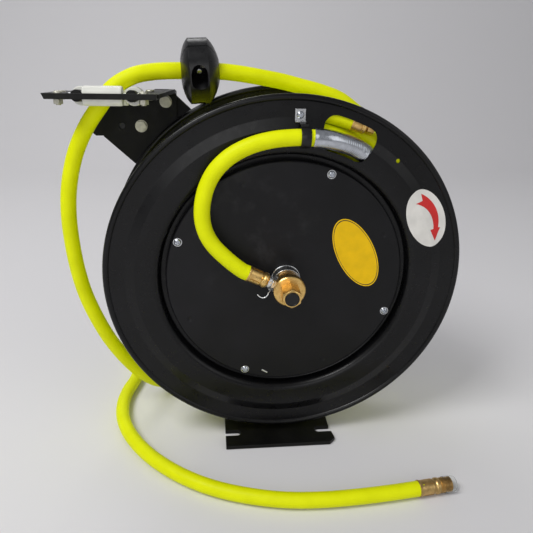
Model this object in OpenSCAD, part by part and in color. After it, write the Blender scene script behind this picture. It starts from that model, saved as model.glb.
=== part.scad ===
// Spring-rewind air hose reel: a steel drum with a pressed cover, wound with a
// rubber hose, turning on a fixed shaft that a post and a foot plate carry.
// The free end of the hose leaves over a roller guide and lies on the floor.
// The origin is on the floor under the drum's axis. The drum's axis runs along Y,
// and the cover and the air inlet face -Y.

/* [Drum] */
// Outside diameter of both flanges
flange_d = 406; // [390:1:420]
// Room between the flanges' rims and the floor
floor_gap = 13; // [10:1:20]
// Thickness of the flange sheet
sheet_t = 1.4; // [1.2:0.1:1.6]
// Distance from the drum's middle plane to the front of a flange's raised band
flange_half_w = 47; // [44:0.1:50]
// Diameter of the rolled bead along a flange's rim
bead_d = 7; // [6.6:0.1:7.4]
// Width of a flange's rim, outside its deep pan
rim_w = 61; // [58:0.5:63]
// Distance from the middle plane to the bottom of a pan
web_half_w = 32; // [31:0.5:33]
// Gap between the spring cover and the wall of the pan
cover_gap = 7; // [5:0.5:9]
// Height of the spring cover over the bottom of the pan
cover_h = 9; // [8:0.5:10]
// Distance of the cover screws from the cover's edge
screw_inset = 6.7; // [6:0.1:9]

/* [Ratchet] */
// Number of notches round the ratchet ring
notch_count = 12; // [12:12:12]
// Outside diameter of the ratchet ring
ratchet_d = 96; // [92:1:98]
// Depth of a notch
notch_depth = 7; // [5:0.5:8]
// Thickness of the ratchet ring
ratchet_t = 8; // [7:0.5:9]

/* [Shaft and swivel] */
// Diameter of the main shaft
shaft_d = 20; // [18:1:22]
// Diameter of the shaft's front spigot inside the swivel
spigot_d = 14; // [12:0.5:15]
// Diameter of the plated swivel ring
ring_d = 33; // [30:0.5:35]
// Diameter of the brass swivel body
swivel_d = 24; // [22:0.5:26]
// Diameter of the brass inlet disc
disc_d = 35; // [33:0.5:37]
// Width of the inlet's hexagon across its flats
inlet_af = 19; // [18:0.5:21]
// Diameter of the air port in the inlet
port_d = 13.2; // [12:0.2:14]

/* [Hose] */
// Outside diameter of the hose
hose_d = 17; // [16.6:0.1:17.2]
// Depth of the outer turns' middle under the flanges' rims
wind_depth = 25; // [24:0.5:28]

/* [Stand] */
// Depth of the foot plate from front to back
foot_depth = 143; // [138:1:150]
// Reach of the foot plate to the left of the axis
foot_left = 69.5; // [66:0.5:72]
// Reach of the foot plate to the right of the axis
foot_right = 63.5; // [60:0.5:66]
// Thickness of the foot plate
foot_t = 5; // [4:0.5:6]
// Width of the foot plate's open slots
slot_w = 9.5; // [8.5:0.5:11]
// Length of the foot plate's open slots
slot_len = 19; // [15:0.5:22]
// Distance of the slots from the middle plane
slot_y = 47; // [44:0.5:50]
// Depth of the pressed post from front to back
post_depth = 12; // [10:0.5:12]
// Width of the post at its foot
post_w = 104; // [96:1:110]
// Thickness of the post's and the arm's plate
plate_t = 4; // [3:0.5:4]
// Width of the guide arm
arm_w = 92; // [88:1:94]

/* [Roller guide] */
// Radius of the front and rear rollers
long_roller_r = 9.6; // [9:0.1:9.8]
// Length of the front and rear rollers
long_roller_len = 38; // [36:0.5:38]
// Radius of the side rollers
side_roller_r = 8.7; // [8.4:0.1:8.8]
// Length of the side rollers
side_roller_len = 25; // [22:0.5:25.5]
// Diameter of the roller pins
roller_pin_d = 6; // [5:0.5:6]
// Thickness of the roller plate
guide_t = 4.5; // [4:0.5:5]

/* [Hose stop] */
// Diameter of the ball stop
stop_d = 66; // [62:1:68]
// Width of the ball stop along the hose
stop_w = 40; // [36:1:42]
// Width of the flat band round the ball stop
stop_band = 20; // [16:1:22]

/* [Hidden] */
$fn = 96;

// Shared clearances
run_gap = 0.05;      // running fit, on the radius
free_gap = 0.4;      // parts that pass each other without touching
eps = 0.01;

// Flange profile, as distances from the axis
flange_r = flange_d / 2;
axis_h = flange_r + floor_gap;
bead_r = bead_d / 2;
bead_mid_r = flange_r - bead_r;
bead_front = flange_half_w - 1;
bead_z = bead_front - bead_r;
pan_r = flange_r - rim_w;
lip_r = 8;                       // fillet from the pan's wall to the raised band
band_inner_r = pan_r + lip_r;
band_outer_r = band_inner_r + 18;
step_w = 12;                     // width of the cone outside the raised band
step_h = 3.2;                    // fall of that cone
rim_z = flange_half_w - step_h;
sleeve_wall = 6;
sleeve_r = shaft_d / 2 + run_gap + sleeve_wall;
sleeve_rear = web_half_w + 12;
cover_z = web_half_w + cover_h;
cover_r = pan_r - cover_gap;
cover_screw_r = cover_r - screw_inset;
wind_r = flange_r - wind_depth;

// Rounded hole in the front flange that the hose goes in by
port_mid_a = 69.3;
port_half_a = 9.7;
port_in_r = wind_r - 27;
port_out_r = wind_r + 10;

// Stand, measured along Y
arm_front = flange_half_w + 9;
post_front = arm_front + plate_t;
post_back = post_front + post_depth;
arm_a = 137;                     // direction of the guide arm
arm_off = 9.5;                   // offset of its middle line from the axis
foot_mid = post_back - 0.5 - foot_depth / 2;
post_r = 46;                     // rounded head of the post
bolt_ring_r = 33;

// Ratchet and pawl
nose_w = 6;
nose_gap = 0.6;
ratchet_r = ratchet_d / 2;
notch_w = nose_w + 2 * nose_gap;
pawl_a = -55.3;                  // direction of the pawl's pin from the axis
pawl_dist = ratchet_r + 15.25;
pawl_pos = [pawl_dist * cos(pawl_a), axis_h + pawl_dist * sin(pawl_a)];
nose_a = pawl_a - acos((ratchet_r - notch_depth / 2 + 0.5) / pawl_dist);
pawl_pin_r = 4;
pawl_y = web_half_w + sheet_t + 1.2;
pawl_t = ratchet_t - 2.4;

// Swivel, measured toward the front from the middle plane
hose_front = flange_half_w + 13; // distance of the inner hose's start
ring_back = cover_z;
ring_front = hose_front - 6;
body_front = hose_front + 8;
disc_back = body_front + free_gap;
disc_front = disc_back + 9.6;
hex_front = disc_front + 18;
port_depth = 16;
nipple_a = 155;                  // direction of the hose's start, seen from the front
nipple_off = 4.7;                // distance by which its line passes under the axis
ferrule_end = 47;                // end of the ferrule along that line
function nipple_at(s) =
    [s * cos(nipple_a) - nipple_off * sin(nipple_a), -hose_front,
     axis_h + s * sin(nipple_a) + nipple_off * cos(nipple_a)];

// Free hose and guide: their points are drawn for turns with a radius of 178
fit = wind_r / 178;
function on_drum(p) = [fit * p[0], p[1], axis_h + fit * p[2]];

// Guide plate
guide_pos = on_drum([-184.5, -10, 194.3]);
guide_dist = norm([guide_pos[0], guide_pos[2] - axis_h]);
guide_tilt = -6.7;
roller_gap = 17.3;               // half the way between the side rollers
side_x = roller_gap + side_roller_r;
long_y = side_roller_len / 2 + 0.9 + long_roller_r;
long_x = -2.5;
pin_r = roller_pin_d / 2;
boss_r = 7;
plate_bolt_x = [-47, 41];
plate_bolt_r = 2.5;
bracket_y = arm_front - plate_t;
guide_front = long_y + 17;
guide_back = bracket_y - guide_pos[1];
guide_left = 60.5;
guide_right = 50.5;
bracket_bolt_at = [[52.5, -12.3], [23.5, -40]];
spare_hole_at = [1.9, -40];

// Ball stop and the hose's free end
STOP_AT = 8;                     // point of the free hose that carries the ball stop
stop_yaw = 11.3;
stop_roll = -51;
stop_bolt_x = 20;
ferrule_len = 21;
thread_r = 8;
thread_len = 13;

// Winding: columns of turns, counted from the front, as many as the room takes
wind_side_gap = 1;
wind_room = 2 * (rim_z - sheet_t) + 0.2;
turn_count = floor(wind_room / hose_d + eps) - 1;
wind_pitch = wind_room / (turn_count + 1);
turn_d = min(hose_d, wind_pitch) - wind_side_gap;
column_y = [for (k = [0:turn_count]) (k - turn_count / 2) * wind_pitch];
loop_rings = 24;
loop_sides = 6;
loop_r = wind_r + 0.8;
wind_start_a = 74;
wind_rings = turn_count * loop_rings - 5;
wind_end_a = wind_start_a + 360 * wind_rings / loop_rings;
cross_from = 0.83;               // part of a turn after which it changes column
cross_part = 0.08;               // part of a turn that the change takes
last_start_a = -285;
last_end_a = 60;
core_r = loop_r * cos(180 / loop_rings) - turn_d / 2 - free_gap;
pocket_a = 63;                   // pocket in the core where the inner hose comes in
pocket_half_a = 18;
pocket_y = flange_half_w - 32;

// Close-wound guard spring
guard_wire = 1.4;
guard_r = hose_d / 2 + guard_wire / 2 + 1;
guard_pitch = 2.3;
curl_rings = 8;

// Inner hose, from the swivel round to the hole in the front flange
INNER_ROUTE = concat([nipple_at(ferrule_end), nipple_at(ferrule_end + 6)], [
    for (p = [
        [-61, 0, 27], [-72, 0, 37.5], [-82, 0, 49], [-89, 0, 62], [-92.5, 0, 77],
        [-92, 0, 94], [-87.5, 0, 112], [-79, 0, 128], [-67, 0, 140.5], [-54, 0, 149],
        [-38, 0, 155.8], [-20, 0.5, 160], [-2, 1, 161.8], [10, 1.4, 162], [20, 1.6, 161.5],
        [36, 2.4, 159.9], [50, 7.2, 156], [62, 13.2, 151.4], [73, 19.5, 146],
        [82.5, 25.5, 139.5], [96, 34.5, 122]
    ]) on_drum(p) - [0, hose_front, 0]
]);
CLIP_AT = 15;                    // where the strap holds the hose
GUARD_FROM = 16;                 // the wire guard's first and last points
GUARD_TO = 21;

// Free hose, from the drum over the guide and down to the floor
FREE_ROUTE = concat([for (p = [
    [96, 32, 166], [66, 29.5, 188], [42, 28.5, 197], [20, 27, 202.5], [-3, 24.5, 208],
    [-25, 21, 212], [-46, 17, 215.5], [-68, 13, 218], [-92, 8, 218.5], [-118, 3, 219],
    [-140, -2, 218], [-160, -6, 214], [-181, -9, 202], [-195, -10, 184.5],
    [-210, -10, 164], [-223, -8, 140], [-232, -6, 115], [-238, -4, 89], [-241, -2, 60],
    [-241, 0, 29], [-239, 2, -2], [-234, 4, -34], [-225, 6, -66], [-212, 10, -101],
    [-196, 17, -134]
]) on_drum(p)], [
    [-178, 27, 52], [-160, 41, 29], [-141, 58, 16], [-120, 80, 10], [-101, 104, 9],
    [-84, 131, 9], [-72, 161, 9], [-69, 191, 9], [-79, 220, 9], [-101, 242, 9],
    [-131, 251, 9], [-161, 245, 9], [-186, 226, 9], [-200, 198, 9], [-203, 166, 9],
    [-198, 134, 9], [-192, 104, 9], [-194, 74, 9], [-201, 48, 9], [-204, 20, 9],
    [-201, -9, 9], [-191, -38, 9], [-175, -66, 9], [-152, -94, 9], [-121, -121, 9],
    [-86, -142, 9], [-49, -156, 9], [-10, -165, 9], [30, -168, 9], [70, -167, 9],
    [110, -164, 9], [146, -160, 9]
]);

// ---------- helpers ----------

// Turns +Z into the front direction and puts the origin on the drum's axis
module on_axis(front = 0) {
    translate([0, -front, axis_h]) rotate([90, 0, 0]) children();
}

// Places children on a vertical plane at depth y, drawn in X and Z
module on_plane(y, thickness) {
    translate([0, y + thickness, 0]) rotate([90, 0, 0]) linear_extrude(thickness) children();
}

module ring(outer_r, inner_r, height) {
    difference() {
        cylinder(r = outer_r, h = height);
        translate([0, 0, -1]) cylinder(r = inner_r, h = height + 2);
    }
}

module hexagon(across_flats, height) {
    cylinder(r = across_flats / 2 / cos(30), h = height, $fn = 6);
}

// Bolt along +Z: its head sits under z = 0, its nut over z = grip
module bolt(shank_r, head_af, head_h, grip) {
    translate([0, 0, -head_h]) hexagon(head_af, head_h);
    translate([0, 0, -eps]) cylinder(r = shank_r, h = grip + head_h + 1, $fn = 32);
    translate([0, 0, grip]) hexagon(head_af, head_h);
}

function unit(v) = v / norm(v);
function square_to(n, t) = unit(n - (n * t) * t);

// Direction of a path at each of its points
function headings(path) = let (last = len(path) - 1) [
    for (i = [0:last])
        i == 0 ? unit(path[1] - path[0])
        : i == last ? unit(path[last] - path[last - 1])
        : unit(unit(path[i + 1] - path[i]) + unit(path[i] - path[i - 1]))
];

// Side directions carried along a path without twist
function sides_along(dirs, seed, i = 0, found = []) =
    i == len(dirs) ? found
    : sides_along(dirs, seed, i + 1,
        concat(found, [square_to(i == 0 ? seed : found[i - 1], dirs[i])]));

// Tube of a given radius swept along a path
module tube(path, radius, sides, seed) {
    dirs = headings(path);
    normals = sides_along(dirs, seed);
    count = len(path);
    points = [
        for (i = [0:count - 1], k = [0:sides - 1])
            let (a = 360 * (k + 0.5) / sides, n = normals[i], b = cross(dirs[i], n))
            path[i] + radius * (cos(a) * n + sin(a) * b)
    ];
    walls = [
        for (i = [0:count - 2], k = [0:sides - 1])
            let (p = i * sides + k, q = i * sides + (k + 1) % sides)
            each [[p, p + sides, q + sides], [p, q + sides, q]]
    ];
    first_cap = [for (k = [1:sides - 2]) [0, k, k + 1]];
    base = (count - 1) * sides;
    last_cap = [for (k = [1:sides - 2]) [base, base + k + 1, base + k]];
    polyhedron(points = points, faces = concat(walls, first_cap, last_cap), convexity = 10);
}

// Least distance between stretches of a tube that are at least `skip` points apart
function self_gap(path, diameter, skip) = min([
    for (i = [0:len(path) - 1 - skip], j = [i + skip:len(path) - 1])
        norm(path[i] - path[j])
]) - diameter;

// Point at a radius, an angle and a depth round the drum's axis
function polar(r, a, y) = [r * cos(a), y, axis_h + r * sin(a)];

// ---------- stand ----------

module slot_cut(side_x, dir) {
    for (y = [-slot_y, slot_y])
        translate([side_x, y, -1]) {
            translate([-dir * (slot_len - slot_w / 2), 0, 0])
                cylinder(d = slot_w, h = foot_t + 2, $fn = 48);
            translate([dir > 0 ? -(slot_len - slot_w / 2) : -30, -slot_w / 2, 0])
                cube([30 + slot_len - slot_w / 2, slot_w, foot_t + 2]);
        }
}

module foot_plate() {
    half = foot_depth / 2;
    corner = 7;
    prong = 3.5;
    color([0.05, 0.05, 0.055])
        translate([0, foot_mid, 0]) difference() {
            linear_extrude(foot_t) polygon([
                [-foot_left, -half], [foot_right + prong - corner, -half],
                [foot_right + prong, -half + corner],
                [foot_right + prong - 2, -slot_y - 3], [foot_right, -slot_y + 3],
                [foot_right, half - 3], [foot_right - 3, half], [3 - foot_left, half],
                [-foot_left, half - 3]
            ]);
            slot_cut(-foot_left, -1);
            slot_cut(foot_right, 1);
        }
}

module post_outline(inset) {
    polygon([
        [-post_w / 2 + inset, foot_t + inset], [post_w / 2 - inset, foot_t + inset],
        [post_r - inset, axis_h], [-post_r + inset, axis_h]
    ]);
    translate([0, axis_h]) circle(r = post_r - inset, $fn = 128);
}

// Bores that the post shares with the arm: the shaft and three bolts
module hub_bores() {
    translate([0, axis_h]) {
        circle(d = shaft_d);
        for (a = [90, 210, 330])
            rotate(a) translate([bolt_ring_r, 0]) circle(r = 4 + free_gap, $fn = 32);
    }
}

module support_post() {
    color([0.05, 0.05, 0.055])
        difference() {
            on_plane(post_front, post_depth) post_outline(0);
            on_plane(post_front + plate_t, post_depth) post_outline(plate_t);
            on_plane(post_front - 1, plate_t + 2) hub_bores();
            on_plane(post_front - 1, plate_t + 2)
                translate(pawl_pos) circle(r = pawl_pin_r, $fn = 48);
        }
}

module arm_outline() {
    along = [cos(arm_a), sin(arm_a)];
    across = [sin(arm_a), -cos(arm_a)];
    low = arm_off - arm_w / 2;
    high = arm_off + arm_w / 2;
    hub = [0, axis_h];
    guide = [guide_pos[0], guide_pos[2]];
    polygon([
        hub + across * low, hub + across * high,
        guide + [62.5, -4.3], guide + [-5.5, -5.3], guide + [-22.5, -48.3],
        hub + across * low + along * (guide_dist - 22)
    ]);
    translate(hub + across * arm_off) circle(d = arm_w, $fn = 128);
}

module guide_arm() {
    color([0.05, 0.05, 0.055])
        difference() {
            on_plane(arm_front, plate_t) arm_outline();
            on_plane(arm_front - 1, plate_t + 2) hub_bores();
            on_plane(arm_front - 1, plate_t + 2) bracket_bores();
        }
}

module hub_bolts() {
    color([0.72, 0.73, 0.75])
        for (a = [90, 210, 330])
            translate([bolt_ring_r * cos(a), arm_front, axis_h + bolt_ring_r * sin(a)])
                rotate([-90, 0, 0]) bolt(4, 13, 5, 2 * plate_t);
}

// Steel shaft: thick through the drum and the post, thin inside the swivel
module main_shaft() {
    color([0.6, 0.6, 0.62])
        translate([0, post_back + 6, axis_h]) rotate([90, 0, 0]) {
            cylinder(d = shaft_d, h = post_back + 6 + ring_back);
            cylinder(d = spigot_d, h = post_back + 6 + disc_back);
        }
}

module shaft_nut() {
    color([0.72, 0.73, 0.75])
        translate([0, post_front + plate_t, axis_h]) rotate([-90, 0, 0])
            difference() {
                union() {
                    cylinder(r = shaft_d / 2 + 7, h = 2);
                    translate([0, 0, 2]) hexagon(30, 9);
                }
                translate([0, 0, -1]) cylinder(d = shaft_d, h = 20);
            }
}

// Brass disc and hexagon that the supply hose screws into
module swivel_inlet() {
    color([0.83, 0.62, 0.28])
        on_axis(disc_back)
            difference() {
                union() {
                    cylinder(d = disc_d, h = disc_front - disc_back - 1);
                    cylinder(d = disc_d - 2, h = disc_front - disc_back);
                    hexagon(inlet_af, hex_front - disc_back - 1);
                    cylinder(d = inlet_af, h = hex_front - disc_back);
                }
                translate([0, 0, hex_front - disc_back - port_depth])
                    cylinder(d = port_d, h = port_depth + 1);
            }
}

module inlet_plug() {
    color([0.04, 0.04, 0.04])
        on_axis(hex_front - port_depth + 4)
            difference() {
                union() {
                    cylinder(d = port_d - 2 * run_gap, h = port_depth - 4);
                    translate([0, 0, port_depth - 4]) cylinder(d = port_d + 2.4, h = 1.6);
                }
                translate([0, 0, -1]) cylinder(d = port_d - 3.2, h = port_depth - 3);
            }
}

// ---------- ratchet ----------

module ratchet_ring() {
    color([0.45, 0.45, 0.47])
        on_axis(-web_half_w - sheet_t - ratchet_t)
            difference() {
                ring(ratchet_r, sleeve_r, ratchet_t);
                for (k = [0:notch_count - 1])
                    rotate([0, 0, nose_a + k * 360 / notch_count])
                        translate([ratchet_r - notch_depth, -notch_w / 2, -1])
                            cube([notch_depth + 3, notch_w, ratchet_t + 2]);
            }
}

module pawl_pin() {
    color([0.72, 0.73, 0.75])
        translate([pawl_pos[0], pawl_y - 0.4, pawl_pos[1]]) rotate([-90, 0, 0]) {
            cylinder(r = pawl_pin_r, h = post_front + plate_t + 3 - pawl_y, $fn = 48);
            translate([0, 0, pawl_t + 0.8])
                cylinder(r = pawl_pin_r + 2, h = post_front - pawl_y - pawl_t - 0.4, $fn = 48);
        }
}

// Lever whose nose drops into a notch, outlined in X and Z
module pawl_outline() {
    depth = ratchet_r - notch_depth + nose_gap;
    nose = [cos(nose_a), sin(nose_a)];
    side = [-sin(nose_a), cos(nose_a)];
    hub = [0, axis_h];
    tip = hub + nose * depth;
    outer = hub + nose * (ratchet_r + 11);
    back_a = nose_a + 25;
    polygon([
        tip - side * nose_w / 2, tip + side * nose_w / 2,
        hub + nose * (ratchet_r + 1.5) + side * nose_w / 2,
        hub + (ratchet_r + 3) * [cos(back_a), sin(back_a)],
        pawl_pos + [-5, 7.4], pawl_pos + [3, -8.3],
        outer + side * nose_w, outer - side * nose_w / 2
    ]);
    translate(pawl_pos) circle(r = 9, $fn = 64);
}

module pawl() {
    color([0.35, 0.35, 0.37])
        difference() {
            union() {
                on_plane(pawl_y, pawl_t) pawl_outline();
                on_plane(pawl_y, pawl_t)
                    polygon([
                        pawl_pos + [4, -7], pawl_pos + [4, 7],
                        pawl_pos + [27, 0], pawl_pos + [27, -7]
                    ]);
            }
            on_plane(pawl_y - 1, pawl_t + 2)
                translate(pawl_pos) circle(r = pawl_pin_r + run_gap, $fn = 48);
        }
}

// Torsion spring round the pawl's pin
PAWL_COIL = [
    for (i = [0:4 * curl_rings])
        let (a = 360 * i / curl_rings)
        [pawl_pos[0] + 8.2 * cos(a), pawl_y + pawl_t + 2.2 + 2.4 * i / curl_rings,
         pawl_pos[1] + 8.2 * sin(a)]
];

module pawl_spring() {
    color([0.75, 0.76, 0.78]) tube(PAWL_COIL, 0.8, loop_sides, [0, 1, 0]);
}

// ---------- drum ----------

// Half section of a flange sheet, from the hub out to the rolled rim
module flange_section() {
    front = flange_half_w;
    lip_z = front - lip_r;
    curl_r = bead_r - sheet_t;
    over = 180 - asin((rim_z - bead_z) / bead_r);
    under = 180 - asin((rim_z - sheet_t - bead_z) / curl_r);
    polygon(concat(
        [[sleeve_r, web_half_w], [pan_r, web_half_w]],
        [for (a = [180:-15:90]) [band_inner_r + lip_r * cos(a), lip_z + lip_r * sin(a)]],
        [[band_outer_r, front], [band_outer_r + step_w, rim_z]],
        [for (k = [0:16]) let (a = over - k * (over + 100) / 16)
            [bead_mid_r + bead_r * cos(a), bead_z + bead_r * sin(a)]],
        [for (k = [0:12]) let (a = -100 + k * (under + 100) / 12)
            [bead_mid_r + curl_r * cos(a), bead_z + curl_r * sin(a)]],
        [[band_outer_r + step_w - 0.4, rim_z - sheet_t], [band_outer_r - 0.4, front - sheet_t]],
        [for (a = [90:15:180])
            let (r = lip_r - sheet_t) [band_inner_r + r * cos(a), lip_z + r * sin(a)]],
        [[pan_r + sheet_t, web_half_w - sheet_t], [sleeve_r, web_half_w - sheet_t]]
    ));
}

module flange_sheet() {
    rotate_extrude($fn = 180) flange_section();
}

// Hole with rounded corners between two radii and two angles, symmetric about +X
module port_outline(inner_r, outer_r, half_a, corner_r) {
    far = outer_r - corner_r;
    near = inner_r + corner_r;
    far_a = half_a - asin(corner_r / far);
    near_a = half_a - asin(corner_r / near);
    side = concat(
        [for (k = [0:6]) corner_point(far, far_a, corner_r, far_a + (half_a + 90 - far_a) * k / 6)],
        [for (k = [0:6])
            corner_point(near, near_a, corner_r, half_a + 90 + (near_a + 90 - half_a) * k / 6)]
    );
    polygon(concat(
        side,
        [for (k = [5:-1:-5]) inner_r * [cos(near_a * k / 6), sin(near_a * k / 6)]],
        [for (k = [len(side) - 1:-1:0]) [side[k][0], -side[k][1]]],
        [for (k = [-5:5]) outer_r * [cos(far_a * k / 6), sin(far_a * k / 6)]]
    ));
}

// Point of a corner's arc: its centre lies at a radius r and an angle a
function corner_point(r, a, corner_r, at) =
    r * [cos(a), sin(a)] + corner_r * [cos(at), sin(at)];

module fan(half_a, r) {
    reach = r * 1.2;
    polygon([[0, 0], [reach * cos(half_a), -reach * sin(half_a)],
             [reach * cos(half_a), reach * sin(half_a)]]);
}

module front_flange() {
    color([0.045, 0.045, 0.05])
        on_axis()
            difference() {
                flange_sheet();
                rotate(port_mid_a) translate([0, 0, web_half_w + 4])
                    linear_extrude(20) port_outline(port_in_r, port_out_r, port_half_a, 12);
                rotate(49.5) translate([wind_r, 0, web_half_w + 4])
                    cylinder(d = 4.8, h = 20, $fn = 32);
                translate([TAB_X, TAB_Z - axis_h, web_half_w + 4])
                    cylinder(r = TAB_HOLE_R, h = 20, $fn = 32);
            }
}

module rear_flange() {
    color([0.045, 0.045, 0.05]) on_axis() mirror([0, 0, 1]) flange_sheet();
}

// Cylinder between the two pans that the hose winds on
module drum_shell() {
    color([0.05, 0.05, 0.055])
        on_axis(-web_half_w + sheet_t)
            ring(pan_r + sheet_t, pan_r, 2 * (web_half_w - sheet_t), $fn = 180);
}

// Bearing sleeve from the rear of the drum to the swivel
module hub_sleeve() {
    color([0.55, 0.55, 0.57])
        on_axis(-sleeve_rear)
            difference() {
                union() {
                    cylinder(r = sleeve_r, h = sleeve_rear + cover_z);
                    translate([0, 0, sleeve_rear - web_half_w + sheet_t])
                        cylinder(r = sleeve_r + 16, h = 2 * (web_half_w - sheet_t));
                }
                translate([0, 0, -1])
                    cylinder(d = shaft_d + 2 * run_gap, h = sleeve_rear + cover_z + 2);
            }
}

// Pressed cover over the rewind spring
module spring_cover() {
    r = cover_r;
    soft = 3;
    color([0.05, 0.05, 0.055])
        on_axis()
            difference() {
                rotate_extrude($fn = 180) polygon(concat(
                    [[r - sheet_t, web_half_w], [r, web_half_w]],
                    [for (a = [0:15:90])
                        [r - soft + soft * cos(a), cover_z - soft + soft * sin(a)]],
                    [[sleeve_r, cover_z], [sleeve_r, cover_z - sheet_t],
                     [r - soft, cover_z - sheet_t], [r - sheet_t, cover_z - soft]]
                ));
                for (a = [69.3:90:339.3])
                    rotate(a) translate([cover_screw_r, 0, web_half_w])
                        cylinder(d = 4, h = cover_h + 2, $fn = 32);
                for (a = [24.5:90:294.5])
                    rotate(a) translate([cover_screw_r - 8, 0, cover_z - 0.7])
                        cylinder(r1 = 1.4, r2 = 3.6, h = 0.8, $fn = 32);
                rotate(-100) translate([cover_screw_r - 3, -3.5, cover_z - 3])
                    cube([1.8, 7, 4]);
            }
}

module cover_screws() {
    color([0.78, 0.79, 0.8])
        on_axis(cover_z)
            for (a = [69.3:90:339.3])
                rotate(a) translate([cover_screw_r, 0, 0])
                    screw_head(4.2, 2, 2, cover_h);
}

// Pan-head screw with a cross recess, its shank behind z = 0
module screw_head(head_r, head_h, shank_r, shank_len) {
    difference() {
        union() {
            cylinder(r = head_r, h = head_h * 0.6, $fn = 32);
            cylinder(r = head_r * 0.8, h = head_h, $fn = 32);
            translate([0, 0, -shank_len]) cylinder(r = shank_r, h = shank_len + 0.5, $fn = 32);
        }
        for (turn = [0, 90])
            rotate(turn) translate([-head_r * 0.5, -0.4, head_h * 0.4])
                cube([head_r, 0.8, head_h]);
    }
}

// ---------- wound hose ----------

// Under layers of hose as one plain ring, open where the inner hose comes in
module winding_core() {
    inner = pan_r + sheet_t;
    half = flange_half_w - 5;
    color([0.78, 0.9, 0.03])
        difference() {
            on_axis()
                rotate_extrude($fn = 180) polygon([
                    [inner, -half + 4], [inner + 6, -half], [core_r, -half],
                    [core_r, half], [inner + 6, half], [inner, half - 4]
                ]);
            on_axis(pocket_y) rotate(pocket_a) linear_extrude(half) fan(pocket_half_a, core_r + 5);
        }
}

function ease(x) = x <= 0 ? 0 : x >= 1 ? 1 : x * x * (3 - 2 * x);

// Depth of the winding after a number of turns
function turn_y(t) = let (k = min(floor(t + eps), turn_count - 1))
    column_y[0] + wind_pitch
    * (k + (k < turn_count - 1 ? ease((t - k - cross_from) / cross_part) : 0));

WINDING = concat(
    [polar(loop_r, wind_start_a, column_y[0])
     + [sin(wind_start_a), 0, -cos(wind_start_a)] * turn_d],
    [for (i = [0:wind_rings])
        polar(loop_r, wind_start_a + 360 * i / loop_rings, turn_y(i / loop_rings))],
    [polar(loop_r, wind_end_a, column_y[turn_count - 1])
     + [-sin(wind_end_a), 0, cos(wind_end_a)] * turn_d]
);

module hose_winding() {
    color([0.82, 0.95, 0.03]) tube(WINDING, turn_d / 2, loop_sides, [0, 1, 0]);
}

// The hose rises from the winding where it leaves the drum
function lift_r(a) = loop_r + 14 * pow(max(0, (a - 14) / (last_end_a - 14)), 1.8);
function lift_y(a) = column_y[turn_count] - 2 * max(0, (a - 14) / (last_end_a - 14));

LAST_TURN = concat(
    [polar(loop_r, last_start_a, column_y[turn_count])
     + [sin(last_start_a), 0, -cos(last_start_a)] * 0.1 * turn_d],
    [for (i = [0:loop_rings - 1])
        let (a = last_start_a + (last_end_a - last_start_a) * i / (loop_rings - 1))
        if (i < loop_rings - 1) polar(lift_r(a), a, lift_y(a))],
    [FREE_ROUTE[0] + unit(FREE_ROUTE[0] - FREE_ROUTE[1]) * turn_d, FREE_ROUTE[0]]
);

module hose_last_turn() {
    color([0.82, 0.95, 0.03]) tube(LAST_TURN, turn_d / 2, loop_sides, [0, 1, 0]);
}

// ---------- inner hose and swivel ----------

module inner_hose() {
    color([0.82, 0.95, 0.03]) tube(INNER_ROUTE, hose_d / 2, 12, [0, 1, 0]);
}

// Point and direction at a distance along the guarded stretch of the inner hose
GUARD_LINE = [for (i = [GUARD_FROM:GUARD_TO]) INNER_ROUTE[i]];
function run_length(path, i) = i == 0 ? 0 : norm(path[i] - path[i - 1]) + run_length(path, i - 1);
GUARD_MARKS = [for (i = [0:len(GUARD_LINE) - 1]) run_length(GUARD_LINE, i)];
GUARD_DIRS = headings(GUARD_LINE);
function guard_at(s, values) = [
    for (axis = [0:2]) lookup(s, [for (i = [0:len(GUARD_LINE) - 1]) [GUARD_MARKS[i], values[i][axis]]])
];
GUARD_LEN = GUARD_MARKS[len(GUARD_LINE) - 1];
GUARD_CURLS = floor(GUARD_LEN / guard_pitch) - 2;

GUARD_COIL = [
    for (i = [0:GUARD_CURLS * curl_rings])
        let (
            s = guard_pitch / 2 + guard_pitch * i / curl_rings,
            dir = unit(guard_at(s, GUARD_DIRS)),
            side = square_to([0, -1, 0], dir),
            up = cross(dir, side),
            a = 360 * i / curl_rings
        )
        guard_at(s, GUARD_LINE) + guard_r * (cos(a) * side + sin(a) * up)
];

module bend_guard() {
    color([0.72, 0.73, 0.75]) tube(GUARD_COIL, guard_wire / 2, loop_sides, [0, 0, 1]);
}

// Frame at the swivel with +Z out along the inner hose's start
module at_nipple() {
    translate(nipple_at(0)) rotate([0, 90 - nipple_a, 0]) children();
}

module swivel_ring() {
    color([0.8, 0.8, 0.82])
        on_axis(ring_back)
            difference() {
                union() {
                    cylinder(d = ring_d, h = 3);
                    cylinder(d = ring_d - 5, h = ring_front - ring_back - 1);
                    cylinder(d = ring_d - 7, h = ring_front - ring_back);
                }
                translate([0, 0, -1]) cylinder(d = spigot_d + 2 * run_gap, h = 30);
            }
}

module swivel_body() {
    color([0.8, 0.58, 0.25])
        difference() {
            union() {
                on_axis(ring_front) cylinder(d = swivel_d, h = body_front - ring_front);
                at_nipple() cylinder(r = 5.8, h = swivel_d / 2 + 1, $fn = 64);
            }
            on_axis(ring_front - 1) cylinder(d = spigot_d + 2 * run_gap, h = 30);
            at_nipple() translate([0, 0, swivel_d / 2 - 3]) cylinder(r = 4.5, h = 20, $fn = 48);
        }
}

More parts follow.
